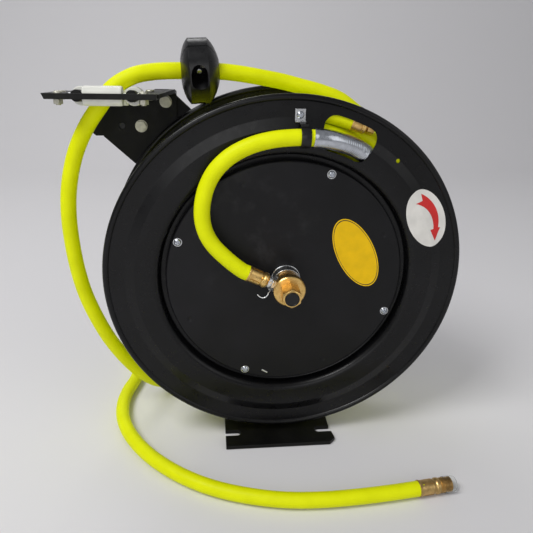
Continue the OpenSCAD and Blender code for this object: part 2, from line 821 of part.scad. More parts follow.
// Plated nipple between the swivel body and the hose's ferrule
module hose_nipple() {
    start = swivel_d / 2 - 3;
    color([0.82, 0.82, 0.84])
        at_nipple()
            difference() {
                union() {
                    translate([0, 0, start]) cylinder(r = 4.5, h = 6, $fn = 48);
                    translate([0, 0, swivel_d / 2 + 1]) hexagon(13, 9);
                    translate([0, 0, swivel_d / 2 + 9]) cylinder(r = 5, h = 5.6, $fn = 48);
                }
                translate([0, 0, start - 1]) cylinder(r = 2.6, h = 30, $fn = 48);
            }
}

// Crimped ferrule: its rear edge meets the hose
module ferrule(length, radius) {
    difference() {
        union() {
            cylinder(r = radius * 0.84, h = 3, $fn = 64);
            translate([0, 0, 3]) cylinder(r1 = radius * 0.86, r2 = radius, h = 2.5, $fn = 64);
            translate([0, 0, 5.5]) cylinder(r = radius, h = length - 5.5, $fn = 64);
        }
        for (z = [9.5:4:length - 3])
            translate([0, 0, z])
                ring(radius + 1, radius - 0.5, 1.4, $fn = 64);
    }
}

module inner_ferrule() {
    back = swivel_d / 2 + 11;
    color([0.83, 0.62, 0.28])
        difference() {
            at_nipple() translate([0, 0, back]) ferrule(ferrule_end - back, hose_d / 2);
            at_nipple() translate([0, 0, back - 1]) cylinder(r = 5, h = 4.6, $fn = 48);
        }
}

// ---------- clip on the front flange ----------

CLIP_X = 12;
TAB_X = 8;
TAB_Z = axis_h + wind_r + 4.4;
TAB_HOLE_R = 1.9;
TAB_Y = rim_z + 1.2;
module clip_tab() {
    color([0.75, 0.76, 0.78])
        difference() {
            union() {
                translate([TAB_X - 5.4, -TAB_Y - 1.5, TAB_Z - 6.5]) cube([10.8, 1.5, 12.5]);
                translate([TAB_X - 5.4, -TAB_Y - 5, TAB_Z - 7]) cube([10.8, 4.4, 1.5]);
            }
            translate([TAB_X, 0, TAB_Z]) rotate([90, 0, 0])
                cylinder(r = TAB_HOLE_R, h = 60, $fn = 32);
        }
}

module clip_screw() {
    color([0.7, 0.71, 0.73])
        translate([TAB_X, -TAB_Y - 1.5, TAB_Z]) rotate([90, 0, 0])
            screw_head(3.8, 2, TAB_HOLE_R - 0.1, 4.2);
}

module clip_strap() {
    mid = INNER_ROUTE[CLIP_AT];
    color([0.04, 0.04, 0.04])
        union() {
            translate([CLIP_X - 5, mid[1], mid[2]]) rotate([0, 90, 0])
                ring(hose_d / 2 + 2, hose_d / 2 + 0.4, 10, $fn = 64);
            translate([CLIP_X - 5, mid[1] - 1, mid[2] + hose_d / 2 + 1.2])
                cube([8, 2.2, TAB_Z - 7 - mid[2] - hose_d / 2 - 1.2]);
            translate([CLIP_X - 5, mid[1], TAB_Z - 9])
                cube([8, -TAB_Y - 2.4 - mid[1], 2]);
        }
}

// Brass coupling between the incoming hose and the winding
module hose_union() {
    color([0.83, 0.62, 0.28])
        translate(WINDING[0]) rotate([0, 180 - wind_start_a, 0]) {
            translate([0, 0, 17]) mirror([0, 0, 1]) ferrule(17, turn_d / 2 - 0.2);
            translate([0, 0, 17]) cylinder(r = 4.6, h = 3, $fn = 32);
            translate([0, 0, 19]) hexagon(13.6, 11);
        }
}

// ---------- stickers ----------

module oval_sticker() {
    color([0.95, 0.78, 0.05])
        on_axis(cover_z)
            rotate(20.2) translate([0.623 * cover_r, 0, 0]) rotate(83.8) sticker_oval(44, 26);
}

// Thin oval label, long axis along X
module sticker_oval(a, b) {
    linear_extrude(0.3) polygon([for (t = [0:10:350]) [a * cos(t), b * sin(t)]]);
}

module arrow_sticker() {
    color([0.92, 0.92, 0.92])
        on_axis(flange_half_w)
            rotate(24.75) translate([band_outer_r + 1.6, 0, 0]) rotate(90.25) sticker_oval(36, 20);
}

// ---------- roller guide ----------

module at_guide() {
    translate(guide_pos) rotate([guide_tilt, 0, 0]) children();
}

module bracket_bores() {
    translate([guide_pos[0], guide_pos[2]]) {
        for (p = bracket_bolt_at) translate(p) circle(r = 4 + free_gap, $fn = 32);
        translate(spare_hole_at) circle(r = 4, $fn = 32);
    }
}

module guide_bracket() {
    color([0.05, 0.05, 0.055])
        difference() {
            union() {
                on_plane(bracket_y, plate_t) translate([guide_pos[0], guide_pos[2]]) polygon([
                    [65, -0.8], [63.8, -48.3], [60.5, -51.3], [-28.5, -51.3], [-33, -47.3],
                    [-13.5, -18.3], [-5.5, -7.8], [32.5, -7.8], [32.5, -0.8]
                ]);
                at_guide() translate([0, 0, guide_t / 2]) linear_extrude(plate_t)
                    difference() {
                        polygon([
                            [36, guide_back + 2.5], [65, guide_back + 2.5], [65, 30],
                            [52, -30], [36, -30]
                        ]);
                        translate([plate_bolt_x[1], 0]) circle(r = plate_bolt_r, $fn = 32);
                        translate([47, 28]) circle(r = 3.5, $fn = 32);
                        translate([56, 28]) circle(r = 3.5, $fn = 32);
                        translate([47, 24.5]) square([9, 7]);
                    }
            }
            on_plane(bracket_y - 1, plate_t + 2) bracket_bores();
        }
}

module bracket_bolts() {
    color([0.72, 0.73, 0.75])
        for (p = bracket_bolt_at)
            translate([guide_pos[0] + p[0], bracket_y, guide_pos[2] + p[1]]) rotate([-90, 0, 0]) {
                translate([0, 0, -1.2]) bolt(4, 11, 3.6, 2 * plate_t + 1.2);
                translate([0, 0, -1.2]) cylinder(r = 7, h = 1.2, $fn = 48);
            }
}

// Plate with a square window and round bosses that hold the roller pins
module roller_plate() {
    window_x = side_x + side_roller_r + 1.5;
    window_y = long_y + long_roller_r + 1.5;
    boss_len = guide_front - side_roller_len / 2 - 0.8;
    color([0.05, 0.05, 0.055])
        at_guide()
            difference() {
                union() {
                    translate([0, 0, -guide_t / 2]) linear_extrude(guide_t) polygon([
                        [-guide_left, -guide_front], [guide_right, -guide_front],
                        [guide_right, 46], [guide_right - 9, 54],
                        [guide_right - 9, guide_back - 0.4], [-guide_left, guide_back - 0.4]
                    ]);
                    for (x = [-side_x, side_x], y = [-1, 1])
                        translate([x, y * guide_front, 0]) rotate([y * 90, 0, 0])
                            cylinder(r = boss_r, h = boss_len, $fn = 48);
                }
                difference() {
                    translate([-window_x, -window_y, -20]) cube([2 * window_x, 2 * window_y, 40]);
                    for (x = [-side_x, side_x], y = [-1, 1])
                        translate([x, y * guide_front, 0]) rotate([y * 90, 0, 0])
                            cylinder(r = boss_r, h = boss_len, $fn = 48);
                    for (x = [-window_x, window_x], y = [-long_y, long_y])
                        translate([x, y, 0]) cube([11, 12, guide_t], center = true);
                }
                pin_solids();
                for (x = plate_bolt_x)
                    translate([x, 0, -10]) cylinder(r = plate_bolt_r, h = 20, $fn = 32);
                translate([long_x - long_roller_len / 2 - 0.6, -long_y, 0]) rotate([0, 90, 0])
                    cylinder(r = long_roller_r + 0.8, h = long_roller_len + 1.2);
                translate([long_x - long_roller_len / 2 - 0.6, long_y, 0]) rotate([0, 90, 0])
                    cylinder(r = long_roller_r + 0.8, h = long_roller_len + 1.2);
            }
}

module pin_solids() {
    for (y = [-long_y, long_y])
        translate([-side_x - boss_r - 2.4, y, 0]) rotate([0, 90, 0])
            cylinder(r = pin_r, h = 2 * (side_x + boss_r + 2.4), $fn = 48);
    reach = side_roller_len / 2 + 5.4;
    for (x = [-side_x, side_x])
        translate([x, reach, 0]) rotate([90, 0, 0]) cylinder(r = pin_r, h = 2 * reach, $fn = 48);
}

module roller_pins() {
    color([0.7, 0.71, 0.73]) at_guide() pin_solids();
}

module plate_bolts() {
    color([0.72, 0.73, 0.75])
        at_guide() {
            translate([plate_bolt_x[1], 0, guide_t / 2 + plate_t]) rotate([180, 0, 0])
                bolt(plate_bolt_r, 8, 4, guide_t + plate_t);
            translate([plate_bolt_x[0], 0, guide_t / 2]) rotate([180, 0, 0])
                bolt(plate_bolt_r, 8, 4, guide_t);
        }
}

// Nylon roller with rounded ends, along +Z from its middle
module roller(radius, length) {
    bore = pin_r + run_gap;
    round = 1.2;
    color([0.93, 0.93, 0.9])
        rotate_extrude($fn = 64) polygon([
            [bore, -length / 2], [radius - round, -length / 2], [radius, -length / 2 + round],
            [radius, length / 2 - round], [radius - round, length / 2], [bore, length / 2]
        ]);
}

module roller_front() {
    at_guide() translate([long_x, -long_y, 0]) rotate([0, 90, 0])
        roller(long_roller_r, long_roller_len);
}

module roller_rear() {
    at_guide() translate([long_x, long_y, 0]) rotate([0, 90, 0])
        roller(long_roller_r, long_roller_len);
}

module roller_left() {
    at_guide() translate([-side_x, 0, 0]) rotate([90, 0, 0])
        roller(side_roller_r, side_roller_len);
}

module roller_right() {
    at_guide() translate([side_x, 0, 0]) rotate([90, 0, 0])
        roller(side_roller_r, side_roller_len);
}

// ---------- free hose ----------

module free_hose() {
    color([0.82, 0.95, 0.03]) tube(FREE_ROUTE, hose_d / 2, 10, [0, 1, 0]);
}

// Frame of the ball stop: +Z along the hose, +X along its bolts
module at_stop() {
    translate(FREE_ROUTE[STOP_AT]) rotate([0, 0, stop_yaw]) rotate([0, 90, 0])
        rotate([0, 0, stop_roll]) children();
}

module stop_solid() {
    r = stop_d / 2;
    band = stop_band / 2;
    half = stop_w / 2;
    bore = hose_d / 2 + 0.6;
    rotate_extrude($fn = 96) polygon([
        [bore, -half], [bore + 7, -half], [r - 8, -band - 5], [r - 1, -band], [r, -band + 1],
        [r, band - 1], [r - 1, band], [r - 8, band + 5], [bore + 7, half], [bore, half]
    ]);
}

module stop_half(sign) {
    color([0.06, 0.06, 0.06])
        at_stop()
            difference() {
                stop_solid();
                translate([sign > 0 ? -60 : -0.3, -40, -40]) cube([60.3, 80, 80]);
                for (y = [-stop_bolt_x, stop_bolt_x])
                    translate([0, y, 0]) rotate([0, 90, 0]) {
                        translate([0, 0, -40]) cylinder(r = 2.5, h = 80, $fn = 32);
                        translate([0, 0, sign > 0 ? 9 : -49]) cylinder(r = 5.6, h = 40, $fn = 48);
                    }
            }
}

module stop_lower() {
    stop_half(1);
}

module stop_upper() {
    stop_half(-1);
}

module stop_bolts() {
    color([0.75, 0.76, 0.78])
        at_stop()
            for (y = [-stop_bolt_x, stop_bolt_x])
                translate([-9, y, 0]) rotate([0, 90, 0]) bolt(2.5, 8, 3.5, 18);
}

module at_end() {
    last = len(FREE_ROUTE) - 1;
    run = FREE_ROUTE[last] - FREE_ROUTE[last - 1];
    translate(FREE_ROUTE[last]) rotate([0, 0, atan2(run[1], run[0])]) rotate([0, 90, 0])
        children();
}

module end_ferrule() {
    color([0.83, 0.62, 0.28])
        at_end() translate([0, 0, ferrule_len]) mirror([0, 0, 1])
            ferrule(ferrule_len, hose_d / 2 - 0.2);
}

// Brass end: a short hexagon and a tapered outside thread
module end_fitting() {
    color([0.85, 0.65, 0.3])
        at_end() translate([0, 0, ferrule_len])
            difference() {
                union() {
                    hexagon(14.4, 3);
                    translate([0, 0, 3]) cylinder(r = thread_r - 1.4, h = 1, $fn = 64);
                    translate([0, 0, 4]) cylinder(r = thread_r, h = thread_len - 4, $fn = 64);
                }
                translate([0, 0, -1]) cylinder(r = 4.5, h = 30, $fn = 48);
            }
}

module thread_cap() {
    color([0.85, 0.88, 0.85, 0.5])
        at_end() translate([0, 0, ferrule_len + 4])
            difference() {
                cylinder(r = thread_r + 0.9, h = 18, $fn = 64);
                translate([0, 0, -1]) cylinder(r = thread_r + run_gap, h = 17, $fn = 64);
            }
}

echo(winding_gap = self_gap(WINDING, turn_d, 14));
echo(last_turn_gap = self_gap(LAST_TURN, turn_d, 14));
echo(guard_gap = self_gap(GUARD_COIL, guard_wire, 5));
echo(pawl_spring_gap = self_gap(PAWL_COIL, 1.6, 5));

foot_plate();
support_post();
guide_arm();
hub_bolts();
main_shaft();
shaft_nut();
swivel_inlet();
pawl_pin();
guide_bracket();
bracket_bolts();
roller_plate();
roller_pins();
plate_bolts();
hose_last_turn();
free_hose();
stop_lower();
stop_upper();
stop_bolts();
end_ferrule();
end_fitting();
front_flange();
rear_flange();
drum_shell();
hub_sleeve();
spring_cover();
cover_screws();
ratchet_ring();
winding_core();
hose_winding();
swivel_ring();
swivel_body();
hose_nipple();
inner_ferrule();
inner_hose();
bend_guard();
clip_tab();
clip_strap();
clip_screw();
hose_union();
oval_sticker();
arrow_sticker();
pawl();
pawl_spring();
roller_front();
roller_rear();
roller_left();
roller_right();
inlet_plug();
thread_cap();
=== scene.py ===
"""Looks of a spring-rewind air hose reel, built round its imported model."""

import math
from math import radians

import bmesh
import bpy
from mathutils import Matrix, Vector


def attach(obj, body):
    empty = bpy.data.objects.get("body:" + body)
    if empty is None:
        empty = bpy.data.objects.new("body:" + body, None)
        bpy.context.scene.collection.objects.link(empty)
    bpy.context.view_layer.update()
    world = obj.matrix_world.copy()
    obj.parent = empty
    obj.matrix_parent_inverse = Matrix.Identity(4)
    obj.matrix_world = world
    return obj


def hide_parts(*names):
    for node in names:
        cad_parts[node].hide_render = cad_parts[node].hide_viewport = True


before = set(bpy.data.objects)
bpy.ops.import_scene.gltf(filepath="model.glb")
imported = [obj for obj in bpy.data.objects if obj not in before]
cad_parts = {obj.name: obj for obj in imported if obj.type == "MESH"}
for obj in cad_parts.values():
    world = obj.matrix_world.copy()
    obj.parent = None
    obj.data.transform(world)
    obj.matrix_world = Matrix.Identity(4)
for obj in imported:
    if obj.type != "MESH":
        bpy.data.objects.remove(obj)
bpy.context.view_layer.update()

MM = 0.001
AXIS_H = 216
COVER_FACE = 41


def mm(x, y, z):
    """Point in metres from millimetres."""
    return Vector((x, y, z)) * MM


def moved(x, y, z):
    """Shift by millimetres."""
    return Matrix.Translation(mm(x, y, z))


def rotated(axis, angle):
    """Rotation about an axis, by an angle in degrees."""
    return Matrix.Rotation(radians(angle), 4, axis)


def route(*points):
    """A cord's points, given in millimetres."""
    return [mm(*p) for p in points]


def smooth(share):
    """Eased step from 0 to 1; the share is held between them."""
    share = min(max(share, 0), 1)
    return share * share * (3 - 2 * share)


# ---------- camera ----------


def aim_camera():
    """A camera above and to the left of the drum's front."""
    azimuth, elevation, roll = -6.341, 23.086, 1.42
    data = bpy.data.cameras.new("camera")
    data.sensor_width = 36
    data.lens = 38.309
    camera = bpy.data.objects.new("camera", data)
    bpy.context.scene.collection.objects.link(camera)
    aim = rotated("Z", azimuth) @ rotated("X", 90 - elevation) @ rotated("Z", roll)
    camera.matrix_world = moved(-86.946, -624.848, 481.075) @ aim
    bpy.context.scene.camera = camera


aim_camera()

# ---------- materials ----------


class Finish:
    """A material whose nodes read Object coordinates in millimetres."""

    def __init__(self, name, colour, roughness, metallic=0.0, specular=0.5):
        self.material = bpy.data.materials.new(name)
        self.material.use_nodes = True
        self.nodes = self.material.node_tree.nodes
        self.links = self.material.node_tree.links
        self.shader = self.nodes["Principled BSDF"]
        self.set("Base Color", (*colour, 1))
        self.set("Roughness", roughness)
        self.set("Metallic", metallic)
        self.set("Specular IOR Level", specular)
        self.material.diffuse_color = (*colour, 1)
        place = self.nodes.new("ShaderNodeTexCoord")
        scale = self.nodes.new("ShaderNodeMapping")
        scale.inputs["Scale"].default_value = (1000, 1000, 1000)
        self.links.new(place.outputs["Object"], scale.inputs["Vector"])
        self.object_mm = scale.outputs["Vector"]

    def set(self, socket, value):
        """Gives the shader's socket a value."""
        self.shader.inputs[socket].default_value = value

    def link(self, output, socket):
        """Leads an output to the shader's socket."""
        self.links.new(output, self.shader.inputs[socket])

    def noise(self, size, detail=2.0, vector=None, roughness=0.5):
        """Noise whose lumps are about `size` millimetres wide."""
        node = self.nodes.new("ShaderNodeTexNoise")
        node.inputs["Scale"].default_value = 1 / size
        node.inputs["Detail"].default_value = detail
        node.inputs["Roughness"].default_value = roughness
        self.links.new(vector or self.object_mm, node.inputs["Vector"])
        return node.outputs["Fac"]

    def stretched(self, scale, turn):
        """Object coordinates in millimetres, scaled and turned."""
        node = self.nodes.new("ShaderNodeMapping")
        node.inputs["Scale"].default_value = scale
        node.inputs["Rotation"].default_value = turn
        self.links.new(self.object_mm, node.inputs["Vector"])
        return node.outputs["Vector"]

    def range(self, value, low, high, to_low=0.0, to_high=1.0):
        """Carries the span low..high of a value over to another span."""
        node = self.nodes.new("ShaderNodeMapRange")
        node.inputs["From Min"].default_value = low
        node.inputs["From Max"].default_value = high
        node.inputs["To Min"].default_value = to_low
        node.inputs["To Max"].default_value = to_high
        self.links.new(value, node.inputs["Value"])
        return node.outputs["Result"]

    def maths(self, operation, first, second):
        """Maths node on two sockets, or a socket and a number."""
        node = self.nodes.new("ShaderNodeMath")
        node.operation = operation
        for socket, value in zip(node.inputs, (first, second)):
            if isinstance(value, (int, float)):
                socket.default_value = value
            else:
                self.links.new(value, socket)
        return node.outputs[0]

    def mixed(self, share, first, second):
        """Colour between two colours, or sockets that give colours."""
        node = self.nodes.new("ShaderNodeMix")
        node.data_type = "RGBA"
        self.links.new(share, node.inputs["Factor"])
        for socket, value in zip((node.inputs[6], node.inputs[7]), (first, second)):
            if isinstance(value, tuple):
                socket.default_value = (*value, 1)
            else:
                self.links.new(value, socket)
        return node.outputs[2]

    def bump(self, height, depth, strength=0.5):
        """Bump of `depth` millimetres."""
        node = self.nodes.new("ShaderNodeBump")
        node.inputs["Distance"].default_value = depth * MM
        node.inputs["Strength"].default_value = strength
        self.links.new(height, node.inputs["Height"])
        self.links.new(node.outputs["Normal"], self.shader.inputs["Normal"])

    def level(self):
        """Share of 1 on faces that look straight up."""
        surface = self.nodes.new("ShaderNodeNewGeometry")
        parts = self.nodes.new("ShaderNodeSeparateXYZ")
        self.links.new(surface.outputs["Normal"], parts.inputs[0])
        return self.range(parts.outputs[2], 0.8, 0.98)

    def near(self, point, far, close):
        """Share that grows to 1 as a point in millimetres comes closer."""
        node = self.nodes.new("ShaderNodeVectorMath")
        node.operation = "DISTANCE"
        node.inputs[1].default_value = point
        self.links.new(self.object_mm, node.inputs[0])
        return self.range(node.outputs["Value"], far, close)


def make_powder_coat():
    """Satin black powder coat with a fine grain."""
    f = Finish("powder_coat", (0.008, 0.008, 0.009), 0.3, specular=0.28)
    tone = f.range(f.noise(60, 4), 0.35, 0.7)
    f.link(f.mixed(tone, (0.002, 0.002, 0.0022), (0.0045, 0.0045, 0.0052)), "Base Color")
    f.link(f.range(f.noise(9, 5), 0.3, 0.75, 0.25, 0.36), "Roughness")
    f.bump(f.noise(0.9, 3), 0.03)
    return f.material


def make_cover_coat():
    """The same coat on the cover, with lighter wiped and dusty marks up and to the left;
    they are partly painted light, where the key lamp falls.
    """
    f = Finish("cover_coat", (0.009, 0.009, 0.01), 0.4, specular=0.26)
    # Lighter patch up and to the left: partly dust and wipe marks, partly a painted pool of
    # light from the key lamp's side.
    dust_and_light_area = f.near((-45, -COVER_FACE, AXIS_H + 60), 95, 35)
    blots = f.range(f.noise(24, 5, roughness=0.6), 0.47, 0.68)
    leaning = f.stretched((0.9, 1, 0.7), (0, 0.5, 0))
    streaks = f.range(f.noise(12, 4, leaning), 0.4, 0.72)
    dust_and_light_marks = f.maths("MULTIPLY", dust_and_light_area, f.maths("MULTIPLY", blots, streaks))
    haze = f.range(f.noise(70, 3), 0.35, 0.7)
    base = f.mixed(haze, (0.003, 0.003, 0.0035), (0.0068, 0.0066, 0.008))
    # Dust and painted light: the marks lighten the coat towards a pale grey.
    f.link(f.mixed(dust_and_light_marks, base, (0.03, 0.03, 0.032)), "Base Color")
    rough = f.range(f.noise(12, 5), 0.3, 0.75, 0.4, 0.52)
    f.link(f.maths("ADD", rough, f.maths("MULTIPLY", dust_and_light_marks, 0.2)), "Roughness")
    f.bump(f.noise(0.9, 3), 0.05, 0.45)
    return f.material


def make_coarse_coat(name, dusty):
    """Grainier coat of the pressed plates; dust lies on level faces where it is dusty."""
    f = Finish(name, (0.006, 0.006, 0.006), 0.48, specular=0.2)
    tone = f.range(f.noise(30, 5), 0.35, 0.7)
    paint = f.mixed(tone, (0.0025, 0.0025, 0.0022), (0.006, 0.006, 0.0052))
    if dusty:
        grains = f.range(f.noise(1.6, 4, roughness=0.7), 0.36, 0.6)
        dust = f.maths("MULTIPLY", f.level(), grains)
        paint = f.mixed(dust, paint, (0.09, 0.09, 0.092))
    f.link(paint, "Base Color")
    f.link(f.range(f.noise(6, 5), 0.3, 0.75, 0.4, 0.58), "Roughness")
    f.bump(f.noise(1.3, 4), 0.12, 0.7)
    return f.material


def make_hose_rubber():
    """Bright yellow-green rubber, satin and slightly mottled."""
    f = Finish("hose_rubber", (0.80, 0.86, 0.0), 0.45, specular=0.14)
    tone = f.range(f.noise(22, 4), 0.3, 0.72)
    f.link(f.mixed(tone, (0.76, 0.815, 0.0), (0.84, 0.90, 0.002)), "Base Color")
    f.link(f.range(f.noise(5, 4), 0.3, 0.7, 0.4, 0.55), "Roughness")
    f.bump(f.noise(1.6, 3), 0.05)
    return f.material


def make_brass(name, colour, dark, roughness):
    """Turned brass with a little tarnish."""
    f = Finish(name, colour, roughness, metallic=1.0)
    tarnish = f.range(f.noise(6, 5, roughness=0.6), 0.42, 0.72)
    f.link(f.mixed(tarnish, colour, dark), "Base Color")
    rough = f.range(f.noise(3, 4), 0.3, 0.7, roughness - 0.06, roughness + 0.12)
    f.link(rough, "Roughness")
    f.bump(f.noise(0.7, 2), 0.02)
    return f.material


def make_zinc(name, colour, low, high, grain):
    """Bright zinc plate, cloudy in patches."""
    f = Finish(name, colour, (low + high) / 2, metallic=1.0)
    cloud = f.range(f.noise(4, 5), 0.35, 0.7)
    f.link(f.mixed(cloud, tuple(0.8 * c for c in colour), colour), "Base Color")
    f.link(f.range(f.noise(2.5, 4), 0.3, 0.7, low, high), "Roughness")
    f.bump(f.noise(grain, 3), 0.02)
    return f.material


def make_plain(name, colour, roughness, specular=0.5, grain=1.2, depth=0.03):
    """Moulded plastic with a fine grain."""
    f = Finish(name, colour, roughness, specular=specular)
    tone = f.range(f.noise(14, 4), 0.3, 0.7)
    f.link(f.mixed(tone, tuple(0.86 * c for c in colour), colour), "Base Color")
    rough = f.range(f.noise(5, 4), 0.3, 0.7, roughness - 0.05, roughness + 0.08)
    f.link(rough, "Roughness")
    f.bump(f.noise(grain, 3), depth)
    return f.material


POWDER = make_powder_coat()
COVER = make_cover_coat()
COARSE = make_coarse_coat("coarse_coat", False)
DUSTY = make_coarse_coat("dusty_coarse_coat", True)
RUBBER = make_hose_rubber()
BRASS = make_brass("brass", (0.78, 0.50, 0.16), (0.46, 0.26, 0.07), 0.28)
END_BRASS = make_brass("end_brass", (0.62, 0.42, 0.17), (0.36, 0.23, 0.08), 0.34)
PALE_BRASS = make_brass("pale_brass", (0.86, 0.58, 0.21), (0.60, 0.37, 0.11), 0.3)
ZINC = make_zinc("zinc", (0.70, 0.71, 0.72), 0.22, 0.38, 0.8)
WHITE_ZINC = make_zinc("white_zinc", (0.93, 0.94, 0.95), 0.22, 0.4, 0.8)
DULL_ZINC = make_zinc("dull_zinc", (0.58, 0.565, 0.48), 0.42, 0.6, 1.5)
GUARD_STEEL = make_zinc("guard_steel", (0.62, 0.65, 0.70), 0.2, 0.28, 6.0)
STEEL = make_zinc("bare_steel", (0.42, 0.42, 0.43), 0.3, 0.5, 1.0)
MOULDED = make_plain("black_moulding", (0.004, 0.004, 0.0045), 0.3, 0.42)
SOFT_BLACK = make_plain("soft_black", (0.005, 0.005, 0.005), 0.34, 0.4)
NYLON = make_plain("white_nylon", (0.78, 0.78, 0.71), 0.38, 0.4)
YELLOW = make_plain("yellow_label", (0.94, 0.58, 0.0), 0.4, 0.25, 6, 0.02)
WHITE = make_plain("white_label", (0.80, 0.78, 0.73), 0.4, 0.3, 6, 0.02)
RED = make_plain("red_ink", (0.66, 0.03, 0.028), 0.42, 0.3, 6, 0.02)
INK = make_plain("black_ink", (0.012, 0.012, 0.012), 0.42, 0.4, 6, 0.02)


def make_clear_cap():
    """Thin clear vinyl."""
    f = Finish("clear_vinyl", (0.96, 0.97, 0.96), 0.06)
    f.set("Transmission Weight", 1.0)
    f.set("IOR", 1.15)
    f.bump(f.noise(5, 2), 0.1)
    return f.material


CLEAR = make_clear_cap()

# ---------- making pieces ----------


def shaded(mesh, angle):
    """Smooth shading, with sharp edges over an angle in degrees."""
    mesh.shade_smooth()
    mesh.set_sharp_from_angle(angle=radians(angle))


def new_object(name, bm, material):
    """An object out of a bmesh, which is freed."""
    mesh = bpy.data.meshes.new(name)
    bm.to_mesh(mesh)
    bm.free()
    mesh.materials.append(material)
    piece = bpy.data.objects.new(name, mesh)
    bpy.context.scene.collection.objects.link(piece)
    return piece


def of_kind(geom, kind):
    """What is of one kind in an operator's result."""
    return [g for g in geom if isinstance(g, kind)]


def finished(piece, body, nodes=(), angle=35, bevel=0.0):
    """Shades a piece, rounds its edges, and lets it ride on a body."""
    shaded(piece.data, angle)
    if bevel:
        round_edges = piece.modifiers.new("edges", "BEVEL")
        round_edges.width = bevel * MM
        round_edges.segments = 3
        round_edges.limit_method = "ANGLE"
        round_edges.angle_limit = radians(40)
        round_edges.use_clamp_overlap = True
        round_edges.harden_normals = True
    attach(piece, body)
    if nodes:
        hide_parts(*nodes)
    return piece


def add(name, bm, material, body, nodes=(), angle=35, bevel=0.0):
    """A new piece, finished and put on its body."""
    return finished(new_object(name, bm, material), body, nodes, angle, bevel)


def baked(piece):
    """Applies a piece's modifiers."""
    graph = bpy.context.evaluated_depsgraph_get()
    mesh = bpy.data.meshes.new_from_object(piece.evaluated_get(graph))
    piece.modifiers.clear()
    piece.data = mesh


def carve(piece, bm):
    """Cuts a closed bmesh out of a piece; the cut faces take the piece's material."""
    cutter = new_object("cutter", bm, piece.data.materials[0])
    cut = piece.modifiers.new("cut", "BOOLEAN")
    cut.operation = "DIFFERENCE"
    cut.solver = "MANIFOLD"
    cut.object = cutter
    baked(piece)
    bpy.data.objects.remove(cutter)
    return piece


def filleted(*corners, steps=5):
    """Outline through corners (a, b, radius), each rounded to its radius."""
    out = []
    for i, (a, b, radius) in enumerate(corners):
        here = Vector((a, b))
        if radius == 0 or i in (0, len(corners) - 1):
            out.append((a, b))
            continue
        before = (Vector(corners[i - 1][:2]) - here).normalized()
        after = (Vector(corners[i + 1][:2]) - here).normalized()
        half = before.angle(after) / 2
        back = radius / math.tan(half)
        start, end = here + before * back, here + after * back
        middle = here + (before + after).normalized() * (radius / math.sin(half))
        low, high = start - middle, end - middle
        first = math.atan2(low.y, low.x)
        turn = (math.atan2(high.y, high.x) - first + math.pi) % math.tau - math.pi
        for k in range(steps + 1):
            angle = first + turn * k / steps
            a = middle.x + radius * math.cos(angle)
            b = middle.y + radius * math.sin(angle)
            out.append((a, b))
    return out


def turned(profile, place, steps=96, closed=False):
    """Spins a profile of (radius, height) round +Z, then puts it in place."""
    bm = bmesh.new()
    verts = [bm.verts.new((r * MM, 0, h * MM)) for r, h in profile]
    edges = [bm.edges.new(pair) for pair in zip(verts, verts[1:])]
    if closed:
        edges.append(bm.edges.new((verts[-1], verts[0])))
    bmesh.ops.spin(
        bm,
        geom=verts + edges,
        axis=(0, 0, 1),
        angle=math.tau,
        steps=steps,
        use_merge=True,
    )
    bmesh.ops.remove_doubles(bm, verts=bm.verts, dist=1e-7)
    bmesh.ops.recalc_face_normals(bm, faces=bm.faces)
    bm.transform(place)
    return bm


def joined(parts):
    """One bmesh out of several, which are freed."""
    whole = bmesh.new()
    for part in parts:
        mesh = bpy.data.meshes.new("part")
        part.to_mesh(mesh)
        part.free()
        whole.from_mesh(mesh)
        bpy.data.meshes.remove(mesh)
    return whole


def block(size, place):
    """Box of a size in millimetres, centred on a place."""
    bm = bmesh.new()
    bmesh.ops.create_cube(bm, size=1.0)
    bm.transform(place @ Matrix.Diagonal((*mm(*size), 1)))
    return bm


def raised(outline, low, high):
    """Flat outline (x, y) in millimetres, drawn up from one height to another."""
    bm = bmesh.new()
    face = bm.faces.new([bm.verts.new(mm(x, y, low)) for x, y in outline])
    made = bmesh.ops.extrude_face_region(bm, geom=[face])["geom"]
    top = of_kind(made, bmesh.types.BMVert)
    bmesh.ops.translate(bm, vec=mm(0, 0, high - low), verts=top)
    return bm


def six_flats(bm, across_flats, start):
    """Cuts six flats onto a turned solid that stands along +Z at the origin."""
    for k in range(6):
        angle = start + math.tau * k / 6
        normal = Vector((math.cos(angle), math.sin(angle), 0))
        cut = bmesh.ops.bisect_plane(
            bm,
            geom=bm.verts[:] + bm.edges[:] + bm.faces[:],
            plane_co=normal * across_flats / 2 * MM,
            plane_no=normal,
            clear_outer=True,
        )
        rim = of_kind(cut["geom_cut"], bmesh.types.BMEdge)
        bmesh.ops.holes_fill(bm, edges=rim, sides=0)
    bmesh.ops.recalc_face_normals(bm, faces=bm.faces)


def hexagon_solid(across_flats, height, place, bore=0.0, start=0.0, chamfer=0.14):
    """Hexagon with the curved chamfers of a turned bar, from z = 0 to its height."""
    corner = across_flats / 2 / math.cos(math.pi / 6)
    flat = across_flats / 2
    drop = (corner - flat) * 0.6 + chamfer
    corner, face = corner + 0.05, flat * 0.96
    outline = [
        (bore, 0), (face, 0), (corner, drop), (corner, height - drop), (face, height),
        (bore, height),
    ]
    bm = turned(outline, Matrix.Identity(4), 60, closed=bool(bore))
    six_flats(bm, across_flats, start)
    bm.transform(place)
    return bm


def on_axis(front=0.0):
    """Place whose +Z points to the front from the drum's axis."""
    return moved(0, -front, AXIS_H) @ rotated("X", 90)


def along(start, direction, up=Vector((0, -1, 0))):
    """Place at a point in metres whose +Z runs along a direction."""
    z = direction.normalized()
    x = (up - up.dot(z) * z).normalized()
    y = z.cross(x)
    return Matrix.Translation(start) @ Matrix((x, y, z)).transposed().to_4x4()


